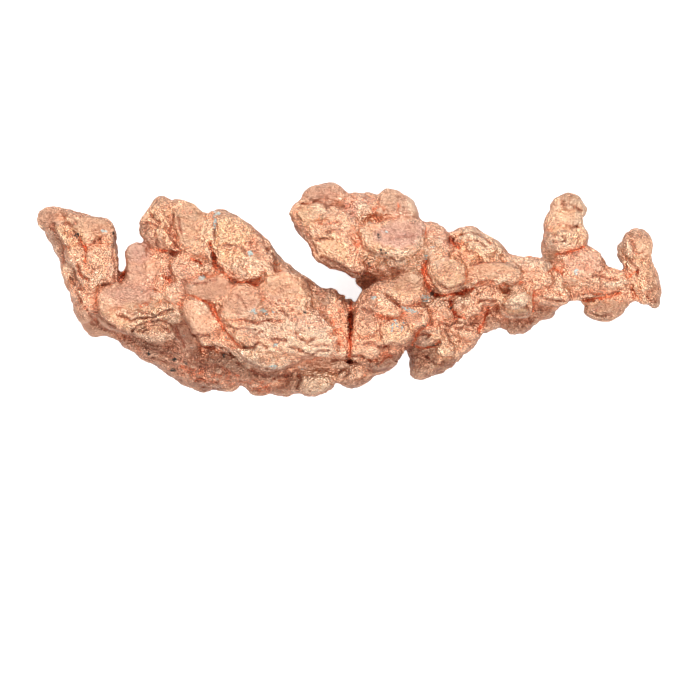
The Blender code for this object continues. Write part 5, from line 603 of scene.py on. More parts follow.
PAINTED_LIGHT = (  # painted light: paler colour that lifts places lying in shade, and painted highlights
    (-38.4, 6.0, 0.9, 1.8, 30, 0.4), (-35.9, 2.4, 0.8, 1.6, 0, 0.7), (-32.3, 1.2, 0.9, 1.4, 0, 1.0),
    (-26.4, -2.8, 3.0, 1.0, 0, 0.5), (-26.0, -6.8, 2.6, 0.7, -12, 0.4), (-25.5, -2.8, 3.8, 1.0, 0, 0.9),
    (-24.6, -6.2, 2.2, 0.7, 0, 0.6), (-23.4, -0.6, 1.4, 2.4, 0, 0.7), (-22.6, -3.4, 0.9, 1.4, 0, 0.8),
    (-19.0, -2.4, 1.2, 0.9, -50, 0.6), (-18.6, 3.0, 0.9, 0.9, 0, 1.0), (-17.9, 6.4, 0.8, 3.0, 0, 0.9),
    (-14.6, -9.8, 2.6, 0.7, -14, 0.5), (-12.8, 2.6, 2.6, 1.5, 0, 1.0), (-12.6, -9.4, 2.4, 0.8, -20, 0.7),
    (-11.4, -8.8, 3.4, 1.3, -10, 1.0), (-11.4, -3.4, 2.4, 1.0, 0, 0.5), (-9.8, -4.8, 3.2, 1.6, 0, 0.7),
    (-9.8, 3.2, 1.2, 1.0, 0, 0.8), (-8.6, 3.2, 2.8, 0.9, -32, 0.8), (-5.4, -6.8, 3.8, 1.8, 0, 1.0),
    (-5.4, -2.4, 1.4, 1.2, 0, 0.7), (-5.4, 6.6, 1.2, 1.0, 0, 0.6), (-4.8, -2.2, 0.9, 2.0, 0, 0.6),
    (-4.4, -11.8, 2.3, 1.5, 0, 1.0), (-2.9, -7.8, 1.8, 1.1, 0, 0.9), (-2.6, 8.8, 3.2, 2.2, 0, 0.4),
    (-2.4, -3.6, 1.2, 2.6, 0, 0.6), (-1.2, -9.6, 1.6, 0.9, 0, 0.6), (0.2, -10.6, 1.6, 0.8, 0, 0.6),
    (1.6, 5.6, 1.2, 1.6, 0, 0.7), (2.2, 9.6, 1.4, 1.3, 0, 1.0), (3.0, 9.9, 0.9, 1.1, 0, 0.8),
    (4.8, 10.6, 2.4, 1.6, 0, 0.4), (5.0, -1.4, 1.2, 1.0, 0, 0.7), (5.4, 2.7, 3.0, 0.7, 8, 0.8),
    (6.4, 3.8, 4.2, 1.1, 0, 1.0), (8.2, 10.8, 0.9, 1.8, 0, 0.8), (8.8, 3.0, 1.6, 1.8, 0, 0.9),
    (10.4, 4.8, 2.0, 2.2, 0, 1.0), (11.0, -7.6, 1.4, 1.0, 0, 0.5), (12.4, -1.5, 3.4, 1.0, 4, 0.9),
    (12.8, -6.8, 1.4, 1.0, 0, 0.8), (15.4, 0.2, 1.0, 0.9, 0, 0.9), (16.6, 7.0, 2.6, 0.7, -14, 0.7),
    (17.4, 5.6, 2.8, 1.3, -25, 0.9), (20.4, 0.6, 1.8, 0.8, 0, 0.9), (21.6, -1.2, 1.9, 1.3, 22, 1.0),
    (22.4, 3.4, 2.6, 0.8, 0, 0.7), (25.4, 3.3, 1.2, 1.0, 0, 0.8), (26.6, 5.2, 1.8, 1.6, 0, 0.9),
    (27.8, 8.6, 2.2, 2.8, 0, 0.4), (28.6, 0.6, 2.2, 0.8, 0, 0.9), (29.8, 9.4, 0.8, 2.0, 0, 1.0),
    (29.8, 10.4, 0.9, 1.3, 0, 0.7), (30.8, -1.2, 1.4, 0.5, 0, 0.7), (34.2, 0.6, 1.6, 0.4, 6, 1.0),
    (35.4, 4.8, 0.9, 1.5, 0, 1.0),
)
PAINTED_GLOW = (  # orange-red painted reflection: the glow that copper walls cast into each other in creases
    (-36.4, 5.4, 0.6, 0.4, 0, 0.8), (-34.0, 3.8, 0.4, 0.9, -30, 0.8), (-28.2, -7.2, 2.4, 0.6, -34, 0.6),
    (-26.8, -2.2, 0.9, 0.2, 8, 1.0), (-23.4, 1.3, 1.0, 0.3, -40, 0.8), (-22.2, -1.8, 1.1, 0.5, -35, 1.0),
    (-19.6, -11.0, 2.4, 0.9, -20, 0.9), (-15.2, -11.6, 2.4, 0.8, -10, 0.8), (-12.2, 6.3, 0.4, 0.8, 30, 0.9),
    (-11.4, -12.6, 1.8, 0.8, -20, 1.0), (-11.0, 2.5, 0.7, 0.5, 0, 0.8), (-9.7, 2.8, 0.6, 0.5, 0, 0.8),
    (-9.0, 2.8, 2.8, 0.8, -32, 0.4), (-5.4, 5.8, 3.2, 0.5, -58, 0.5), (-3.2, 11.4, 0.5, 0.4, 0, 0.7),
    (-2.8, 8.4, 1.4, 0.3, 4, 0.8), (-1.4, -5.0, 1.2, 4.2, 0, 0.7), (-1.4, 2.4, 3.0, 0.5, -20, 0.5),
    (1.2, 5.4, 0.6, 2.4, 0, 0.6), (2.8, 2.3, 2.6, 0.6, 6, 0.6), (3.6, 10.0, 1.0, 1.0, 0, 0.7),
    (4.8, -3.6, 1.6, 0.3, -10, 0.8), (5.6, -8.2, 1.4, 0.7, 30, 0.6), (6.2, 10.4, 0.3, 1.0, 0, 0.9),
    (6.9, -3.0, 0.5, 0.5, 0, 1.0), (9.2, -9.4, 1.2, 1.4, 0, 0.3), (9.6, 2.6, 0.5, 1.0, -10, 1.0),
    (13.0, -1.6, 0.4, 1.4, -10, 0.8), (14.8, -0.6, 1.2, 0.4, 10, 0.9), (17.0, 5.4, 1.8, 0.9, -20, 0.4),
    (17.2, -3.8, 0.4, 1.6, -20, 1.0), (20.8, 0.6, 1.8, 0.3, 8, 0.9), (23.7, -1.6, 0.3, 1.2, 0, 0.9),
    (26.6, 2.6, 0.9, 0.3, -20, 0.8), (28.4, 4.8, 1.8, 0.4, 12, 0.8), (32.6, -0.5, 2.6, 0.4, -6, 0.9),
    (37.0, 2.2, 0.5, 0.4, 0, 0.8), (37.0, 4.7, 0.6, 0.4, 0, 0.8),
)
BLOOM = (  # grey-green specks
    (-31.5, 7.4, 0.4, 0.25, 0, 0.8), (-18.9, 1.3, 0.5, 0.35, 0, 0.7), (-17.2, 8.6, 0.25, 1.4, 0, 0.62),
    (-16.7, 9.6, 0.3, 0.25, 0, 0.9), (-12.7, 4.5, 0.25, 0.4, 0, 0.9), (-12.4, -2.9, 0.5, 0.22, 35, 0.8),
    (-12.1, -3.05, 0.45, 0.22, -50, 0.8), (-10.9, -2.9, 0.45, 0.22, -20, 0.8),
    (-10.7, -3.05, 0.2, 0.35, 30, 0.7), (-9.8, -10.0, 0.5, 0.3, 0, 0.6), (-9.7, -7.3, 0.4, 0.3, 0, 0.6),
    (-9.7, -2.95, 0.3, 0.2, 20, 0.7), (-6.0, -10.2, 0.6, 0.25, 0, 0.6), (3.0, -1.2, 0.4, 0.25, 0, 0.7),
    (4.5, 7.2, 0.4, 0.25, 0, 0.7), (5.5, -5.0, 0.13, 0.9, -8, 0.7), (6.1, -4.7, 0.13, 0.8, 24, 0.7),
    (6.8, -4.8, 0.13, 0.9, -14, 0.7), (7.8, -2.8, 1.2, 0.32, -18, 0.62), (9.8, -1.3, 0.7, 0.5, -20, 0.66),
    (9.8, 4.0, 0.4, 0.4, 0, 0.66), (10.7, 5.3, 0.4, 0.2, 0, 0.8), (29.2, 2.2, 0.3, 0.4, 40, 0.8),
)
SPECKS_AND_SHADE = (  # black specks; the thin line along the long gap is a painted shadow
    (-35.1, 6.9, 0.4, 0.3, 0, 0.7), (-30.4, 7.2, 0.3, 0.2, 0, 0.8), (-25.8, -8.4, 0.35, 0.2, 0, 1.0),
    (-22.7, -10.5, 0.4, 0.3, 0, 0.7), (-22.5, -9.1, 0.35, 0.25, 0, 1.0), (-21.1, -9.5, 0.35, 0.25, -30, 0.9),
    (-17.65, 4.6, 0.07, 1.2, 12, 0.5), (-16.2, -8.6, 0.2, 0.3, 0, 0.9), (-14.8, 0.8, 0.4, 0.2, 20, 0.6),
    (-7.7, -2.9, 0.3, 0.2, 0, 0.7), (-5.7, -3.0, 0.25, 0.2, 0, 0.7), (2.5, 2.9, 0.22, 0.4, 0, 0.7),
    (3.8, 6.7, 0.3, 0.5, 10, 0.5), (4.3, 4.7, 0.6, 0.3, -25, 0.6), (8.5, -6.2, 0.9, 0.3, 74, 0.5),
    (9.5, -4.9, 1.0, 0.25, 32, 0.5), (10.4, -7.3, 1.7, 0.25, 8, 0.5), (10.6, -0.6, 0.28, 0.35, 0, 0.8),
    (13.0, -2.5, 0.25, 0.25, 0, 0.6), (17.8, -2.6, 0.25, 0.25, 0, 0.6), (29.5, 3.1, 0.2, 0.2, 0, 0.9),
)
UPRIGHT = (  # wrinkled across the nugget instead of along it
    (-35.6, 4.0, 2.6, 6.0, 20, 1.0), (-24.6, 8.0, 1.8, 3.4, 20, 1.0), (-15.4, 6.0, 2.4, 4.0, -40, 0.8),
    (-1.4, -5.0, 1.4, 4.0, 0, 1.0), (2.2, -4.0, 2.0, 4.4, 0, 0.8), (12.6, 1.8, 1.6, 2.2, 0, 0.6),
    (27.8, 8.4, 2.6, 5.0, 6, 1.0), (38.0, 2.8, 1.8, 5.0, 0, 1.0),
)
BEADED = (  # beaded with small grains
    (-35.8, 7.0, 1.6, 1.8, 0, 0.8), (-26.0, -3.0, 4.0, 0.8, -4, 0.6), (-17.4, -11.2, 4.0, 0.8, -8, 0.7),
    (-15.2, 2.8, 2.0, 1.6, 0, 1.0), (-13.0, -12.0, 4.0, 0.7, 0, 0.7), (-12.0, -9.2, 3.4, 1.0, -8, 0.7),
    (-1.6, -4.6, 1.4, 4.4, 0, 1.0), (1.0, 5.2, 1.0, 2.6, 0, 0.9), (3.6, 10.0, 1.2, 1.2, 0, 1.0),
    (16.8, 5.2, 2.2, 1.2, -20, 0.8), (18.2, 1.0, 2.4, 0.5, 0, 1.0),
)

# What the mesh keeps for each point, and the finish reads.
FORM_LAYERS = ("hollow", "peak", "crack", "wrinkle")
# The light layer is painted light, the orange glow layer painted reflection, and the brown layer partly
# painted shade.
PATCH_LAYERS = {"worn": WORN, "golden": GOLDEN, "pink": PINK, "tarnish_and_shade": TARNISH_AND_SHADE, "light": PAINTED_LIGHT,
                "painted_glow": PAINTED_GLOW, "bloom": BLOOM, "specks_and_shade": SPECKS_AND_SHADE}


# --- shapes ---------------------------------------------------------------------------------------------


def smooth_outline(points):
    """The closed Catmull-Rom curve through the points of an outline."""
    corners = np.array(points)
    before, after = np.roll(corners, 1, axis=0), np.roll(corners, -1, axis=0)
    beyond = np.roll(corners, -2, axis=0)
    curve = []
    for t in np.linspace(0.0, 1.0, OUTLINE_STEPS, endpoint=False):
        curve.append(0.5 * (2 * corners + (after - before) * t
                            + (2 * before - 5 * corners + 4 * after - beyond) * t ** 2
                            + (3 * corners - before - 3 * after + beyond) * t ** 3))
    return np.stack(curve, axis=1).reshape(-1, 2)


def middle_of(curve):
    """The centre of the area inside a closed curve."""
    following = np.roll(curve, -1, axis=0)
    cross = curve[:, 0] * following[:, 1] - following[:, 0] * curve[:, 1]
    return ((curve + following) * cross[:, None]).sum(axis=0) / (3 * cross.sum())


def ball(detail):
    """The points and faces of a unit ball."""
    mesh = bmesh.new()
    bmesh.ops.create_icosphere(mesh, subdivisions=detail, radius=1.0)
    points = np.array([vertex.co for vertex in mesh.verts])
    faces = np.array([[vertex.index for vertex in face.verts] for face in mesh.faces])
    mesh.free()
    return points, faces


def lobe_points(unit, top, waist, base, *outline):
    """A ball whose widest level follows the outline, with a rounded top and underside."""
    curve = smooth_outline(outline)
    middle = middle_of(curve)
    spokes = curve - middle
    azimuths = np.arctan2(spokes[:, 1], spokes[:, 0])
    azimuth = np.arctan2(unit[:, 1], unit[:, 0])
    reach = np.interp(azimuth, azimuths, np.hypot(*spokes.T), period=2 * math.pi)
    power = 2 / np.where(unit[:, 2] > 0, BOXINESS, BOXINESS_BELOW)
    across = np.hypot(unit[:, 0], unit[:, 1]) ** power
    up = np.abs(unit[:, 2]) ** power
    height = np.where(unit[:, 2] > 0, waist + (top - waist) * up, waist - (waist - base) * up)
    return np.stack([middle[0] + reach * across * np.cos(azimuth),
                     middle[1] + reach * across * np.sin(azimuth), height], axis=1)


def mass_points(unit, x, y, z, length_half, width_half, height_half, heading):
    """An uneven ellipsoid, turned about the vertical."""
    turn = np.array(Matrix.Rotation(math.radians(heading), 3, "Z"))
    points = (unit * np.array((length_half, width_half, height_half))) @ turn.T + np.array((x, y, z))
    dents = [noise.noise(Vector(point) / DENT_SIZE) * DENT_DEPTH for point in points]
    return points + unit * np.array(dents)[:, None]


def overlapping_lobes():
    """One mesh of closed balls that overlap."""
    unit, faces = ball(SPHERE_DETAIL)
    shapes = [lobe_points(unit, *lobe) for lobe in LOBES.values()]
    shapes += [mass_points(unit, *mass) for mass in MASSES + FEET + UNDER_LUMPS + INFILL]
    all_faces = np.concatenate([faces + len(unit) * number for number in range(len(shapes))])
    mesh = bpy.data.meshes.new("overlapping_lobes")
    mesh.from_pydata(np.concatenate(shapes) * MM, [], all_faces)
    return mesh


def apply_modifiers(obj):
    """Turns what the modifiers show into the object's own mesh."""
    graph = bpy.context.evaluated_depsgraph_get()
    mesh = bpy.data.meshes.new_from_object(obj.evaluated_get(graph))
    obj.modifiers.clear()
    obj.data = mesh


def add_remesh(obj, voxel):
    remesh = obj.modifiers.new("remesh", "REMESH")
    remesh.mode = "VOXEL"
    remesh.voxel_size = voxel


def fuse(obj, voxel, fillet):
    """Melts overlapping balls into one skin, fills the narrowest gaps between them and eases it all."""
    add_remesh(obj, voxel)
    for distance in (fillet, -fillet):
        offset = obj.modifiers.new("offset", "DISPLACE")
        offset.mid_level = 0.0
        offset.strength = distance
        add_remesh(obj, voxel)
    smooth = obj.modifiers.new("ease", "SMOOTH")
    smooth.factor = 0.5
    smooth.iterations = SMOOTHING_PASSES
    apply_modifiers(obj)


def keep_outer_skin(obj):
    """Removes the walls of bubbles closed off between the lobes: all but the largest shell."""
    mesh = bmesh.new()
    mesh.from_mesh(obj.data)
    mesh.verts.ensure_lookup_table()
    seen, shells = set(), []
    for start in mesh.verts:
        if start.index in seen:
            continue
        shell, edge_of_shell = {start.index}, [start]
        while edge_of_shell:
            vertex = edge_of_shell.pop()
            for edge in vertex.link_edges:
                other = edge.other_vert(vertex)
                if other.index not in shell:
                    shell.add(other.index)
                    edge_of_shell.append(other)
        seen |= shell
        shells.append(shell)
    largest = max(shells, key=len)
    inner = [vertex for vertex in mesh.verts if vertex.index not in largest]
    bmesh.ops.delete(mesh, geom=inner, context="VERTS")
    mesh.to_mesh(obj.data)
    mesh.free()


def points_of(obj):
    """The object's points, in millimetres, and the normals there."""
    count = len(obj.data.vertices)
    points, normals = np.empty(count * 3, np.float32), np.empty(count * 3, np.float32)
    obj.data.vertices.foreach_get("co", points)
    obj.data.vertices.foreach_get("normal", normals)
    return points.reshape(-1, 3).astype(float) / MM, normals.reshape(-1, 3).astype(float)


def move_points(obj, points):
    """Gives the object's points new places, in millimetres."""
    obj.data.vertices.foreach_set("co", (points * MM).astype(np.float32).ravel())
    obj.data.update()


def distance_to_line(points, line):
    """How far each point is from a bent line, all in one plane."""
    nearest = np.full(len(points), np.inf)
    for start, end in zip(np.array(line[:-1]), np.array(line[1:])):
        along = end - start
        share = np.clip((points - start) @ along / (along @ along), 0.0, 1.0)
        gap = points - start - share[:, None] * along
        nearest = np.minimum(nearest, np.hypot(gap[:, 0], gap[:, 1]))
    return nearest


def wander(points, size, seed):
    """A slow random field, between about -1 and 1, one value a point."""
    shift = Vector((seed * 17.3, seed * 5.1, seed * 9.7))
    return np.array([noise.noise(Vector(point) / size + shift) for point in points])


def line_share(points, lines, width, faint=0.0):
    """How deep the lines cut at each point, in millimetres, and how near it is to a line that isn't faint."""
    bend = np.stack([wander(points, SWAY_SIZE, seed) for seed in (1, 2)], axis=1) * LINE_SWAY
    depth, near = np.zeros(len(points)), np.zeros(len(points))
    for deepest, half_width, *line in lines:
        share = np.exp(-(distance_to_line(points[:, :2] + bend, line) / (half_width * width)) ** 2)
        depth = np.maximum(depth, deepest * share)
        near = np.maximum(near, min(max(deepest - faint, 0.0) / LINE_SHADE_RISE, 1.0) * share)
    return depth, near


def carve(obj, lines, width):
    """Sinks lines into the surfaces that face up."""
    points, normals = points_of(obj)
    depth, _ = line_share(points, lines, width)
    points[:, 2] -= depth * np.clip(normals[:, 2] * UP_GAIN, 0.0, 1.0)
    move_points(obj, points)


def relief(point):
    """How far the surface stands out at a point, in millimetres: broad swellings and rounded knuckles."""
    swell = noise.noise(point / SWELL_SIZE)
    near, second = noise.voronoi(point / KNUCKLE_SIZE)[0][:2]
    knuckle = min(second - near, KNUCKLE_LIMIT) - KNUCKLE_MEAN
    return SWELL_DEPTH * swell + KNUCKLE_DEPTH * knuckle


def roughen(obj):
    """Moves the surface in and out along its normals by the relief."""
    points, normals = points_of(obj)
    steps = np.array([relief(Vector(point)) for point in points])
    move_points(obj, points + normals * steps[:, None])


def patch_share(points, patches, seed):
    """How much of a patchy finish each point has, from 0 to 1, with wandering edges."""
    ragged = sum(wander(points, size, seed + number) * strength
                 for number, (size, strength) in enumerate(PATCH_WAVES))
    share = np.zeros(len(points))
    for x, y, half_length, half_width, heading, strength in patches:
        turn = math.radians(heading)
        across = points[:, :2] - np.array((x, y))
        along = (across[:, 0] * math.cos(turn) + across[:, 1] * math.sin(turn)) / half_length
        beside = (across[:, 1] * math.cos(turn) - across[:, 0] * math.sin(turn)) / half_width
        inside = np.clip((PATCH_EDGE - np.hypot(along, beside) + ragged) / PATCH_FADE, 0.0, 1.0)
        share = np.maximum(share, strength * inside * inside * (3 - 2 * inside))
    return share


def store(obj, name, values):
    """Keeps one number a point on the mesh, under a name that the nodes read."""
    layer = obj.data.attributes.get(name) or obj.data.attributes.new(name, "FLOAT", "POINT")
    layer.data.foreach_set("value", values.astype(np.float32))


def thin_out(obj, triangles):
    """Brings the skin down to the number of triangles, the underside more than the top."""
    _, normals = points_of(obj)
    group = obj.vertex_groups.new(name="underside")
    for weight, lowest, highest in THINNING:
        facing = (normals[:, 2] >= lowest) & (normals[:, 2] < highest)
        group.add(np.nonzero(facing)[0].tolist(), weight, "REPLACE")
    obj.data.calc_loop_triangles()
    decimate = obj.modifiers.new("thin out", "DECIMATE")
    decimate.ratio = min(1.0, triangles / len(obj.data.loop_triangles))
    decimate.vertex_group = group.name
    decimate.vertex_group_factor = 1.0
    apply_modifiers(obj)
    obj.vertex_groups.clear()


def wear_flat(obj):
    """Cuts off what reaches below the resting surface, and closes the cuts with flat faces."""
    mesh = bmesh.new()
    mesh.from_mesh(obj.data)
    everything = mesh.verts[:] + mesh.edges[:] + mesh.faces[:]
    bmesh.ops.bisect_plane(mesh, geom=everything, plane_co=Vector((0, 0, 0)),
                           plane_no=Vector((0, 0, 1)), clear_inner=True)
    open_edges = [edge for edge in mesh.edges if edge.is_boundary]
    bmesh.ops.holes_fill(mesh, edges=open_edges, sides=0)
    bmesh.ops.triangulate(mesh, faces=mesh.faces[:])
    bmesh.ops.recalc_face_normals(mesh, faces=mesh.faces[:])
    mesh.to_mesh(obj.data)
    mesh.free()


# --- node helpers ---------------------------------------------------------------------------------------


def add_node(tree, kind, inputs=None, **settings):
    """Adds a node. Its inputs are sockets to link, or plain values, by name or number."""
    node = tree.nodes.new(kind)
    for name, value in settings.items():
        setattr(node, name, value)
    for name, value in (inputs or {}).items():
        if isinstance(value, bpy.types.NodeSocket):
            tree.links.new(value, node.inputs[name])
        else:
            node.inputs[name].default_value = value
    return node


def sum_of(tree, first, second, operation="ADD", clamp=False):
    """The socket of a Math node on two sockets or numbers."""
    return add_node(tree, "ShaderNodeMath", {0: first, 1: second}, operation=operation,
                    use_clamp=clamp).outputs[0]


def less(tree, first, second):
    return sum_of(tree, first, second, "SUBTRACT")


def product(tree, first, second):
    return sum_of(tree, first, second, "MULTIPLY")


def on_vector(tree, operation, first, second):
    """The socket of a Vector Math node on a vector and a vector, or on a vector and its scale."""
    name = "Scale" if operation == "SCALE" else 1
    return add_node(tree, "ShaderNodeVectorMath", {0: first, name: second}, operation=operation).outputs[0]


# --- geometry nodes -------------------------------------------------------------------------------------


def start_tree(name, sizes):
    """A geometry tree with a geometry in and out, a material, a seed, and the named sizes."""
    tree = bpy.data.node_groups.new(name, "GeometryNodeTree")
    tree.is_modifier = True
    tree.interface.new_socket("Geometry", in_out="OUTPUT", socket_type="NodeSocketGeometry")
    kinds = {"Geometry": "Geometry", "Material": "Material", "Seed": "Int", **dict.fromkeys(sizes, "Float")}
    for socket, kind in kinds.items():
        tree.interface.new_socket(socket, in_out="INPUT", socket_type="NodeSocket" + kind)
    return tree, add_node(tree, "NodeGroupInput").outputs


def end_tree(tree, geometry, material):
    """Ends a geometry tree in Realize Instances and Set Material."""
    real = add_node(tree, "GeometryNodeRealizeInstances", {"Geometry": geometry})
    finish = add_node(tree, "GeometryNodeSetMaterial", {"Geometry": real.outputs[0], "Material": material})
    add_node(tree, "NodeGroupOutput", {"Geometry": finish.outputs[0]})


def attribute(tree, name):
    """The socket of a number that the mesh keeps for each point, in a geometry tree."""
    node = add_node(tree, "GeometryNodeInputNamedAttribute", {"Name": name}, data_type="FLOAT")
    return node.outputs["Attribute"]


def bead_tree():
    """Half sunk grains of copper, scattered where the mesh's "beaded" number is high."""
    tree, given = start_tree("copper_beads", ("Radius", "Density"))
    density = product(tree, given["Density"], attribute(tree, "beaded"))
    spread = add_node(tree, "GeometryNodeDistributePointsOnFaces",
                      {"Mesh": given["Geometry"], "Density": density, "Seed": given["Seed"]})
    grain = add_node(tree, "GeometryNodeMeshIcoSphere", {"Radius": given["Radius"], "Subdivisions": 2})
    size = add_node(tree, "FunctionNodeRandomValue",
                    {2: BEAD_SCALES[0], 3: BEAD_SCALES[1], "Seed": given["Seed"]}, data_type="FLOAT")
    grains = add_node(tree, "GeometryNodeInstanceOnPoints",
                      {"Points": spread.outputs["Points"], "Instance": grain.outputs["Mesh"],
                       "Scale": size.outputs[1]})
    both = add_node(tree, "GeometryNodeJoinGeometry", {"Geometry": given["Geometry"]})
    tree.links.new(grains.outputs[0], both.inputs[0])
    end_tree(tree, both.outputs[0], given["Material"])
    return tree


def billow(tree, place, seed, size, depth, lie):
    """Rounded lumps with sharp creases between them: the socket of their height."""
    where = on_vector(tree, "MULTIPLY", place, lie)
    texture = add_node(tree, "ShaderNodeTexNoise",
                       {"Vector": where, "W": seed, "Scale": sum_of(tree, 1.0, size, "DIVIDE"),
                        "Detail": 0.0, "Distortion": 0.35}, noise_dimensions="4D")
    swing = less(tree, product(tree, texture.outputs[0], 2.0), 1.0)
    lump = add_node(tree, "ShaderNodeMath", {0: swing}, operation="ABSOLUTE").outputs[0]
    return product(tree, less(tree, sum_of(tree, lump, LUMP_LIMIT, "MINIMUM"), LUMP_MEAN), depth)


def crumple_tree():
    """Folds, dimples and grain pressed into the skin along its normals, weaker where it is worn.

    They are drawn out along the nugget, and across it where the mesh's "upright" number is high.
    """
    lies = {"Fold": (0.55, 1.1, 1.0), "Dimple": (0.6, 1.1, 1.0), "Grain": (0.7, 1.1, 1.0)}
    sockets = [kind + part for kind in lies for part in (" Size", " Depth")]
    tree, given = start_tree("crumpled_copper", sockets)
    position = add_node(tree, "GeometryNodeInputPosition").outputs[0]
    seed = product(tree, given["Seed"], 1.7)
    layers = []
    for heading in GRAIN_HEADINGS:
        place = add_node(tree, "ShaderNodeVectorRotate",
                         {"Vector": position, "Angle": -math.radians(heading)},
                         rotation_type="Z_AXIS").outputs[0]
        fold, dimple, grain = (billow(tree, place, seed, given[kind + " Size"], given[kind + " Depth"], lie)
                               for kind, lie in lies.items())
        layers.append(sum_of(tree, sum_of(tree, fold, dimple), grain))
    total = add_node(tree, "ShaderNodeMix", {0: attribute(tree, "upright"), 2: layers[0], 3: layers[1]},
                     data_type="FLOAT").outputs[0]
    kept = less(tree, 1.0, product(tree, attribute(tree, "worn"), WORN_SMOOTH))
    normal = add_node(tree, "GeometryNodeInputNormal").outputs[0]
    step = on_vector(tree, "SCALE", normal, product(tree, total, kept))
    moved = add_node(tree, "GeometryNodeSetPosition", {"Geometry": given["Geometry"], "Offset": step})
    end_tree(tree, moved.outputs[0], given["Material"])
    return tree


def run_tree(obj, tree, values):
    """Runs a geometry tree on the object with the named values, and keeps the plain mesh."""
    modifier = obj.modifiers.new(tree.name, "NODES")
    modifier.node_group = tree
    for item in tree.interface.items_tree:
        if item.in_out == "INPUT" and item.name in values:
            modifier[item.identifier] = values[item.name]
    apply_modifiers(obj)


# --- finish ---------------------------------------------------------------------------------------------


def ramp(tree, value, low, high, to_low=0.0, to_high=1.0):
    """The socket of a value brought from one range to another, and clamped."""
    node = add_node(tree, "ShaderNodeMapRange",
                    {"Value": value, "From Min": low, "From Max": high, "To Min": to_low, "To Max": to_high})
    return node.outputs[0]


def speckle(tree, size, stretch, detail=2.0, distortion=0.0, shift=0.0):
    """The socket of a noise of the given grain size in metres, drawn out along the axes."""
    where = add_node(tree, "ShaderNodeTexCoord").outputs["Object"]
    mapping = add_node(tree, "ShaderNodeMapping", {"Vector": where, "Scale": stretch,
                                                   "Location": (shift, shift, shift)})
    texture = add_node(tree, "ShaderNodeTexNoise", {"Vector": mapping.outputs[0], "Scale": 1 / size,
                                                    "Detail": detail, "Distortion": distortion})
    return texture.outputs["Fac"]


def nodules(tree, size, sway, stretch):
    """The socket of the distance to the nearest of scattered points: rounded grains with creases between."""
    where = add_node(tree, "ShaderNodeTexCoord").outputs["Object"]
    bend = add_node(tree, "ShaderNodeTexNoise", {"Vector": where, "Scale": 0.6 / size, "Detail": 1.0})
    bend = on_vector(tree, "SUBTRACT", bend.outputs["Color"], (0.5, 0.5, 0.5))
    bend = on_vector(tree, "SCALE", bend, sway * 4)
    where = on_vector(tree, "MULTIPLY", on_vector(tree, "ADD", where, bend), stretch)
    return add_node(tree, "ShaderNodeTexVoronoi", {"Vector": where, "Scale": 1 / size}).outputs["Distance"]


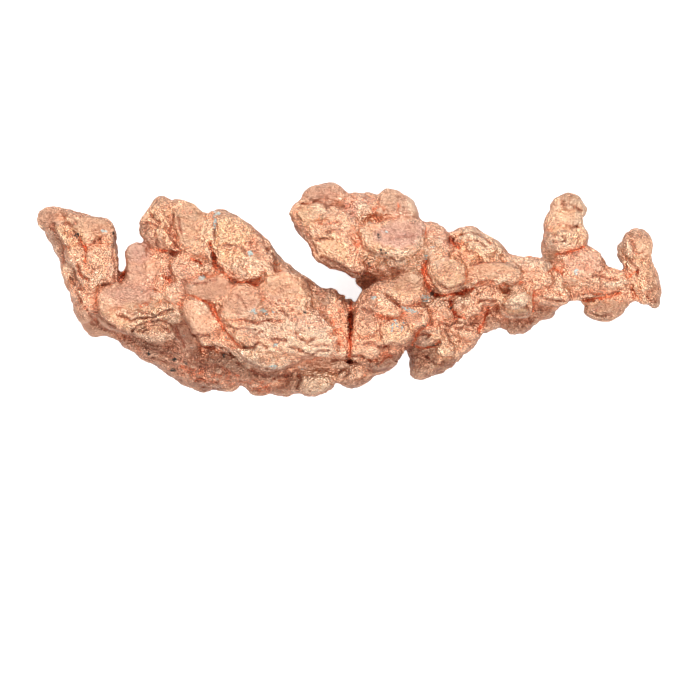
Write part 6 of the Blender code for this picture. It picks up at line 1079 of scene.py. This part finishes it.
def copper_material(look):
    """Native copper: golden and pink worn metal, with painted reflection, orange, in its creases, painted
    shade, brown and dark red, on its flanks, hollows and cracks, and painted highlights on its grains.
    """
    material = bpy.data.materials.new(MATERIAL_SLOT)
    material.use_nodes = True
    tree = material.node_tree
    shader = tree.nodes["Principled BSDF"]
    mottle = speckle(tree, MOTTLE_SIZE, DRAWN_OUT, detail=4.0, distortion=0.6)
    cloud = speckle(tree, CLOUD_SIZE, (0.7, 1.1, 1.0), shift=0.4)
    grit = speckle(tree, GRIT_SIZE, (0.85, 1.15, 1.0), distortion=0.3, shift=0.9)
    lumps = nodules(tree, LUMP_SIZE, LUMP_SWAY, DRAWN_OUT)
    # Of these layers, light is painted light, the orange glow is painted reflection, and the brown is partly
    # painted shade.
    hollow, peak, crack, wrinkle, worn, golden, pink, tarnish_and_shade, light, painted_glow, bloom, specks_and_shade = (
        add_node(tree, "ShaderNodeAttribute", attribute_name=name).outputs["Fac"]
        for name in FORM_LAYERS + tuple(PATCH_LAYERS))
    rough_share = ramp(tree, worn, 0.0, 1.0, 1.0, 0.45)

    # Pits between grains take painted shade, and raised grains painted highlights; less of both where painted
    # light lies.
    pits = sum_of(tree, ramp(tree, grit, 0.44, 0.30), ramp(tree, lumps, 0.62, 0.85), "MAXIMUM")
    pits = product(tree, pits, less(tree, rough_share, product(tree, light, 0.4)))
    raised = product(tree, ramp(tree, lumps, 0.30, 0.05), ramp(tree, grit, 0.48, 0.66))
    # Painted reflection: the orange glow of copper walls facing each other in creases and hollows.
    hollow_glow = product(tree, product(tree, painted_glow, ramp(tree, grit, 0.44, 0.58)),
                    ramp(tree, hollow, 0.0, 0.25, 0.45, 1.0))
    hollow_glow = sum_of(tree, hollow_glow, product(tree, hollow, 0.18), clamp=True)
    ragged = less(tree, product(tree, grit, 2.2), 1.10)
    bloom, specks_and_shade = (ramp(tree, sum_of(tree, flecks, ragged), 0.45, 0.75) for flecks in (bloom, specks_and_shade))

    coats = (
        # Partly a real yellow tint, partly painted highlight on faces turned to the light.
        (product(tree, ramp(tree, mottle, 0.34, 0.62), golden), look.gold),
        (product(tree, worn, 0.75), look.rubbed),
        (product(tree, ramp(tree, cloud, 0.25, 0.55), pink), look.pink),
        # Brown: partly real tarnish, partly painted shade on the flanks and on faces turned from the light.
        (product(tree, tarnish_and_shade, ramp(tree, mottle, 0.30, 0.60, 1.0, 0.6)), look.tarnish_and_shade),
        # Painted light on places that lie in shade.
        (product(tree, light, 0.7), look.pale),
        # Painted shade in the pits.
        (product(tree, pits, 0.52), look.shade_red),
        # Painted highlights on the raised grains.
        (product(tree, product(tree, raised, rough_share), 0.62), look.pale),
        # Painted shade along the wrinkles.
        (product(tree, wrinkle, 0.75), look.tarnish_and_shade),
        # Painted shade in the hollows, less under painted light.
        (product(tree, hollow, less(tree, 0.28, product(tree, light, 0.24))), look.shade_red),
        # Painted reflection, orange, in the hollows and cracks.
        (sum_of(tree, hollow_glow, ramp(tree, crack, 0.22, 0.50, 0.0, 0.8), "MAXIMUM"), look.painted_glow),
        # Paler high spots: partly rubbed metal, partly painted highlight.
        (product(tree, peak, 0.35), look.pale),
        # Painted shade, dark red and then black, deep in the cracks.
        (ramp(tree, crack, 0.65, 1.0, 0.0, 0.65), look.shade_red),
        (ramp(tree, crack, 0.92, 1.0, 0.0, 0.28), look.specks_and_shade),
        (bloom, look.bloom),
        # Black specks, and a painted shadow line along the long gap.
        (specks_and_shade, look.specks_and_shade),
    )
    colour = look.copper
    for share, coat in coats:
        mix = add_node(tree, "ShaderNodeMix", {0: share, 6: colour, 7: coat}, data_type="RGBA",
                       clamp_factor=True)
        colour = mix.outputs[2]
    tree.links.new(colour, shader.inputs["Base Color"])

    dull = sum_of(tree, product(tree, worn, 0.18), product(tree, tarnish_and_shade, 0.02))
    dull = sum_of(tree, dull, ramp(tree, mottle, 0.3, 0.7, 0.18, 0.30))
    tree.links.new(dull, shader.inputs["Roughness"])
    stained = sum_of(tree, specks_and_shade, product(tree, bloom, 0.7))
    stained = sum_of(tree, stained, product(tree, tarnish_and_shade, 0.22), clamp=True)
    tree.links.new(less(tree, 1.0, stained), shader.inputs["Metallic"])

    height = less(tree, product(tree, grit, 1.2), product(tree, lumps, 0.36))
    height = sum_of(tree, height, product(tree, mottle, 0.7))
    height = product(tree, height, sum_of(tree, rough_share, product(tree, tarnish_and_shade, 0.7)))
    bump = add_node(tree, "ShaderNodeBump", {"Height": height, "Strength": 1.0, "Distance": look.grain})
    tree.links.new(bump.outputs[0], shader.inputs["Normal"])
    return material


def glowing_floor(look):
    """A pale, evenly lit floor: it glows a little to the camera, so shadows on it stay faint."""
    material = bpy.data.materials.new("pale_floor")
    material.use_nodes = True
    tree = material.node_tree
    shader = tree.nodes["Principled BSDF"]
    shader.inputs["Base Color"].default_value = look.floor
    shader.inputs["Roughness"].default_value = 0.9
    seen = add_node(tree, "ShaderNodeLightPath").outputs["Is Camera Ray"]
    tree.links.new(seen, shader.inputs["Emission Color"])
    shader.inputs["Emission Strength"].default_value = look.floor_glow
    return material


# --- the nugget -----------------------------------------------------------------------------------------


def neighbour_mean(points, pairs, times):
    """The points after they are drawn towards their neighbours the given number of times."""
    count = np.bincount(pairs.ravel(), minlength=len(points))[:, None]
    for _ in range(times):
        total = np.zeros_like(points)
        for axis in range(3):
            total[:, axis] = (np.bincount(pairs[:, 0], points[pairs[:, 1], axis], len(points))
                              + np.bincount(pairs[:, 1], points[pairs[:, 0], axis], len(points)))
        points = 0.5 * points + 0.5 * total / count
    return points


def store_form(obj):
    """Keeps how hollow and how proud each point lies among its neighbours, and the lines that cross it."""
    points, normals = points_of(obj)
    pairs = np.empty(len(obj.data.edges) * 2, np.int32)
    obj.data.edges.foreach_get("vertices", pairs)
    eased = neighbour_mean(points, pairs.reshape(-1, 2), EASING_PASSES)
    stands_out = ((points - eased) * normals).sum(axis=1)
    upward = np.clip(normals[:, 2] * UP_GAIN + 0.4, 0.0, 1.0)
    cracks = [*CREASES.values(), *GAPS.values()]
    layers = (np.clip(-stands_out / HOLLOW_DEPTH - 0.10, 0.0, 1.0),
              np.clip(stands_out / PEAK_HEIGHT - 0.10, 0.0, 1.0),
              line_share(points, cracks, CRACK_WIDTH, FAINT_CRACK)[1] * upward,
              line_share(points, WRINKLES, WRINKLE_WIDTH, FAINT_WRINKLE)[1] * upward)
    for name, layer in zip(FORM_LAYERS, layers):
        store(obj, name, layer)


def painted_flank_shade(normals):
    """Painted shade, brown, on steep sides and the underside: most of all on those that face away from the
    key light.
    """
    steep = np.clip((0.62 - normals[:, 2]) / 0.5, 0.0, 1.0)
    far_side = np.clip(0.62 - 0.55 * normals[:, 1] + 0.2 * normals[:, 0], 0.25, 1.0)
    return steep * far_side * 0.85


def store_patches(obj):
    """Keeps the patches of finish, of painted light and of painted shade for each point, and the painted
    shade of the flanks.
    """
    points, normals = points_of(obj)
    from_above = np.clip(normals[:, 2] * 2.0 + 0.5, 0.0, 1.0)
    for number, (name, patches) in enumerate(PATCH_LAYERS.items()):
        share = patch_share(points, patches, 10 * number) * from_above
        if name == "tarnish_and_shade":
            share = np.maximum(share, painted_flank_shade(normals))
        store(obj, name, share)


def build_skin(sizes, look):
    """The nugget's skin, from melted lobes to the last grain, as one closed mesh."""
    skin = bpy.data.objects.new(SKIN_NAME, overlapping_lobes())
    bpy.context.scene.collection.objects.link(skin)
    fuse(skin, sizes.cell, sizes.fillet)
    keep_outer_skin(skin)
    carve(skin, GAPS.values(), 1.0)
    carve(skin, CREASES.values(), sizes.crease_sharpness)
    roughen(skin)
    material = copper_material(look)
    store(skin, "beaded", patch_share(points_of(skin)[0], BEADED, 3))
    run_tree(skin, bead_tree(), {"Radius": sizes.bead_radius, "Density": sizes.bead_density, "Seed": 4,
                                 "Material": material})
    add_remesh(skin, sizes.cell)
    apply_modifiers(skin)
    keep_outer_skin(skin)
    points, _ = points_of(skin)
    store(skin, "worn", patch_share(points, WORN, 0))
    store(skin, "upright", patch_share(points, UPRIGHT, 7))
    carve(skin, WRINKLES, 1.0)
    run_tree(skin, crumple_tree(),
             {"Fold Size": sizes.fold_size, "Fold Depth": sizes.fold_depth,
              "Dimple Size": sizes.dimple_size, "Dimple Depth": sizes.dimple_depth,
              "Grain Size": sizes.grit_size, "Grain Depth": sizes.grit_depth, "Seed": 7,
              "Material": material})
    thin_out(skin, sizes.triangles)
    wear_flat(skin)
    skin.data.shade_smooth()
    skin.data.materials.clear()
    skin.data.materials.append(material)
    store_form(skin)
    store_patches(skin)
    return skin


# --- add-on ---------------------------------------------------------------------------------------------


def amount(name, description, default, lowest=0.0, **more):
    return bpy.props.FloatProperty(name=name, description=description, default=default, min=lowest, **more)


def length(name, description, default, precision=5):
    return amount(name, description, default, subtype="DISTANCE", unit="LENGTH", precision=precision)


def watts(name, description, default):
    return amount(name, description, default, subtype="POWER", unit="POWER")


def tint(name, description, *default):
    return bpy.props.FloatVectorProperty(name=name, description=description, default=(*default, 1.0), size=4,
                                         subtype="COLOR", min=0.0, max=1.0)


class NuggetSizes(bpy.types.PropertyGroup):
    cell: length("Cell", "Size of the cells that melt the lobes into one skin", 0.00020)
    fillet: length("Fillet", "Radius of the copper that fills the seams between lobes", 0.00020)
    crease_sharpness: amount("Crease width", "Width of the cracks, as a share of their width in the solid",
                             0.55, 0.1, max=2.0, subtype="FACTOR")
    bead_radius: length("Bead radius", "Radius of a grain of copper on the skin", 0.00042)
    bead_density: amount("Bead density", "Grains on a square metre where the skin is beaded", 6.0e5)
    fold_size: length("Fold size", "Distance between the folds of the skin", 0.0016)
    fold_depth: length("Fold depth", "Depth of the folds", 0.00050)
    dimple_size: length("Dimple size", "Distance between the dimples", 0.0008)
    dimple_depth: length("Dimple depth", "Depth of the dimples", 0.00024)
    grit_size: length("Grit size", "Size of the finest modelled relief", 0.00040)
    grit_depth: length("Grit depth", "Depth of the finest modelled relief", 0.00017)
    triangles: bpy.props.IntProperty(name="Triangles", description="Triangles of the finished skin",
                                     default=194000, min=1000)


class NuggetLook(bpy.types.PropertyGroup):
    copper: tint("Copper", "The metal between its golden and its pink patches", 0.95, 0.51, 0.325)
    # Partly a real tint, partly painted highlight.
    gold: tint("Gold", "Bright crumpled metal", 0.96, 0.60, 0.35)
    rubbed: tint("Rubbed", "Smooth rubbed metal", 0.76, 0.42, 0.27)
    pink: tint("Pink", "Pink patches", 0.80, 0.45, 0.34)
    # Brown: partly real tarnish, partly painted shade on the flanks, in the wrinkles and on faces turned from
    # the light.
    tarnish_and_shade: tint("Tarnish", "Brown of the flanks", 0.37, 0.152, 0.102)
    # Painted reflection: the orange glow of copper walls facing each other.
    painted_glow: tint("Ember", "Orange of the creases", 0.95, 0.25, 0.11)
    # Pale: the colour of painted light, of painted highlights on raised grains, and of the high spots, partly
    # rubbed metal and partly painted highlight.
    pale: tint("Pale", "Rubbed high spots", 0.97, 0.69, 0.49)
    bloom: tint("Bloom", "Grey-green flecks", 0.60, 0.66, 0.61)
    # Painted shade, dark red, in the cracks, hollows and pits.
    shade_red: tint("Rust", "Dark red of the cracks and pits", 0.34, 0.08, 0.04)
    # Black of the specks, and painted shade deep in the cracks.
    specks_and_shade: tint("Soot", "Dark pits", 0.035, 0.022, 0.016)
    grain: length("Grain", "Height of the finest grain, which isn't modelled", 0.00036)


class StageLook(bpy.types.PropertyGroup):
    floor: tint("Floor", "Colour of the floor", 0.76, 0.76, 0.76)
    floor_glow: amount("Floor glow", "How brightly the floor glows", 0.83)
    sky: amount("Sky", "Brightness of the surroundings", 0.76)
    zenith: amount("Zenith", "Brightness straight above", 0.30)
    key_power: watts("Key light", "Power of the light behind", 5.45)
    fill_power: watts("Fill light", "Power of the light opposite", 3.35)
    camera_height: length("Camera height", "Height of the camera above the floor", 0.60, 3)
    picture_width: length("Picture width", "Width that the camera takes in at the nugget", 0.0903, 4)


class OBJECT_OT_copper_nugget(bpy.types.Operator):
    """Model the nugget's skin and give it its copper finish"""
    bl_idname = "object.copper_nugget"
    bl_label = "Copper Nugget"
    bl_options = {"REGISTER", "UNDO"}

    def execute(self, context):
        skin = build_skin(context.scene.nugget_sizes, context.scene.nugget_look)
        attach(skin, "root")
        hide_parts(NODE_NAME)
        return {"FINISHED"}


def area_light(name, place, power):
    """A soft square light, aimed at the nugget."""
    light = bpy.data.lights.new(name, "AREA")
    light.size = LIGHT_WIDTH
    light.energy = power
    obj = bpy.data.objects.new(name, light)
    bpy.context.scene.collection.objects.link(obj)
    obj.location = place
    obj.rotation_euler = (-Vector(place)).to_track_quat("-Z", "Y").to_euler()


class SCENE_OT_nugget_stage(bpy.types.Operator):
    """Lay a pale floor, hang the soft lights and aim the camera straight down"""
    bl_idname = "scene.nugget_stage"
    bl_label = "Nugget Stage"
    bl_options = {"REGISTER", "UNDO"}

    def execute(self, context):
        scene = context.scene
        look = scene.nugget_stage
        bpy.ops.mesh.primitive_plane_add(size=FLOOR_WIDTH, location=(0.0, 0.0, FLOOR_LEVEL))
        floor = context.object
        floor.name = "floor"
        floor.data.materials.append(glowing_floor(look))
        world = bpy.data.worlds.new("soft_surroundings")
        world.use_nodes = True
        tree = world.node_tree
        background = tree.nodes["Background"]
        background.inputs["Color"].default_value = (1.0, 1.0, 1.0, 1.0)
        direction = add_node(tree, "ShaderNodeTexCoord").outputs["Generated"]
        upward = add_node(tree, "ShaderNodeSeparateXYZ", {0: direction}).outputs[2]
        tree.links.new(ramp(tree, upward, 0.75, 1.0, look.sky, look.zenith), background.inputs["Strength"])
        scene.world = world
        area_light("key_light", KEY_PLACE, look.key_power)
        area_light("fill_light", FILL_PLACE, look.fill_power)
        camera = bpy.data.objects.new("camera", bpy.data.cameras.new("camera"))
        scene.collection.objects.link(camera)
        camera.location = (*CAMERA_PLACE, look.camera_height)
        camera.data.sensor_width = SENSOR_WIDTH
        camera.data.lens = SENSOR_WIDTH * (look.camera_height - NUGGET_LEVEL) / look.picture_width
        camera.data.clip_start = 0.01
        scene.camera = camera
        scene.view_settings.view_transform = "Standard"
        return {"FINISHED"}


class VIEW3D_PT_nugget(bpy.types.Panel):
    bl_label = "Copper Nugget"
    bl_space_type = "VIEW_3D"
    bl_region_type = "UI"
    bl_category = "Nugget"

    def draw(self, context):
        scene = context.scene
        for group in (scene.nugget_sizes, scene.nugget_look, scene.nugget_stage):
            box = self.layout.box()
            for name in group.bl_rna.properties.keys():
                if name not in {"rna_type", "name"}:
                    box.prop(group, name)
        self.layout.operator(OBJECT_OT_copper_nugget.bl_idname)
        self.layout.operator(SCENE_OT_nugget_stage.bl_idname)


CLASSES = (NuggetSizes, NuggetLook, StageLook, OBJECT_OT_copper_nugget, SCENE_OT_nugget_stage,
           VIEW3D_PT_nugget)


def register():
    for cls in CLASSES:
        bpy.utils.register_class(cls)
    bpy.types.Scene.nugget_sizes = bpy.props.PointerProperty(type=NuggetSizes)
    bpy.types.Scene.nugget_look = bpy.props.PointerProperty(type=NuggetLook)
    bpy.types.Scene.nugget_stage = bpy.props.PointerProperty(type=StageLook)


def unregister():
    del bpy.types.Scene.nugget_sizes
    del bpy.types.Scene.nugget_look
    del bpy.types.Scene.nugget_stage
    for cls in reversed(CLASSES):
        bpy.utils.unregister_class(cls)


def main():
    register()
    bpy.ops.scene.nugget_stage()
    bpy.ops.object.copper_nugget()


if __name__ == "__main__":
    main()
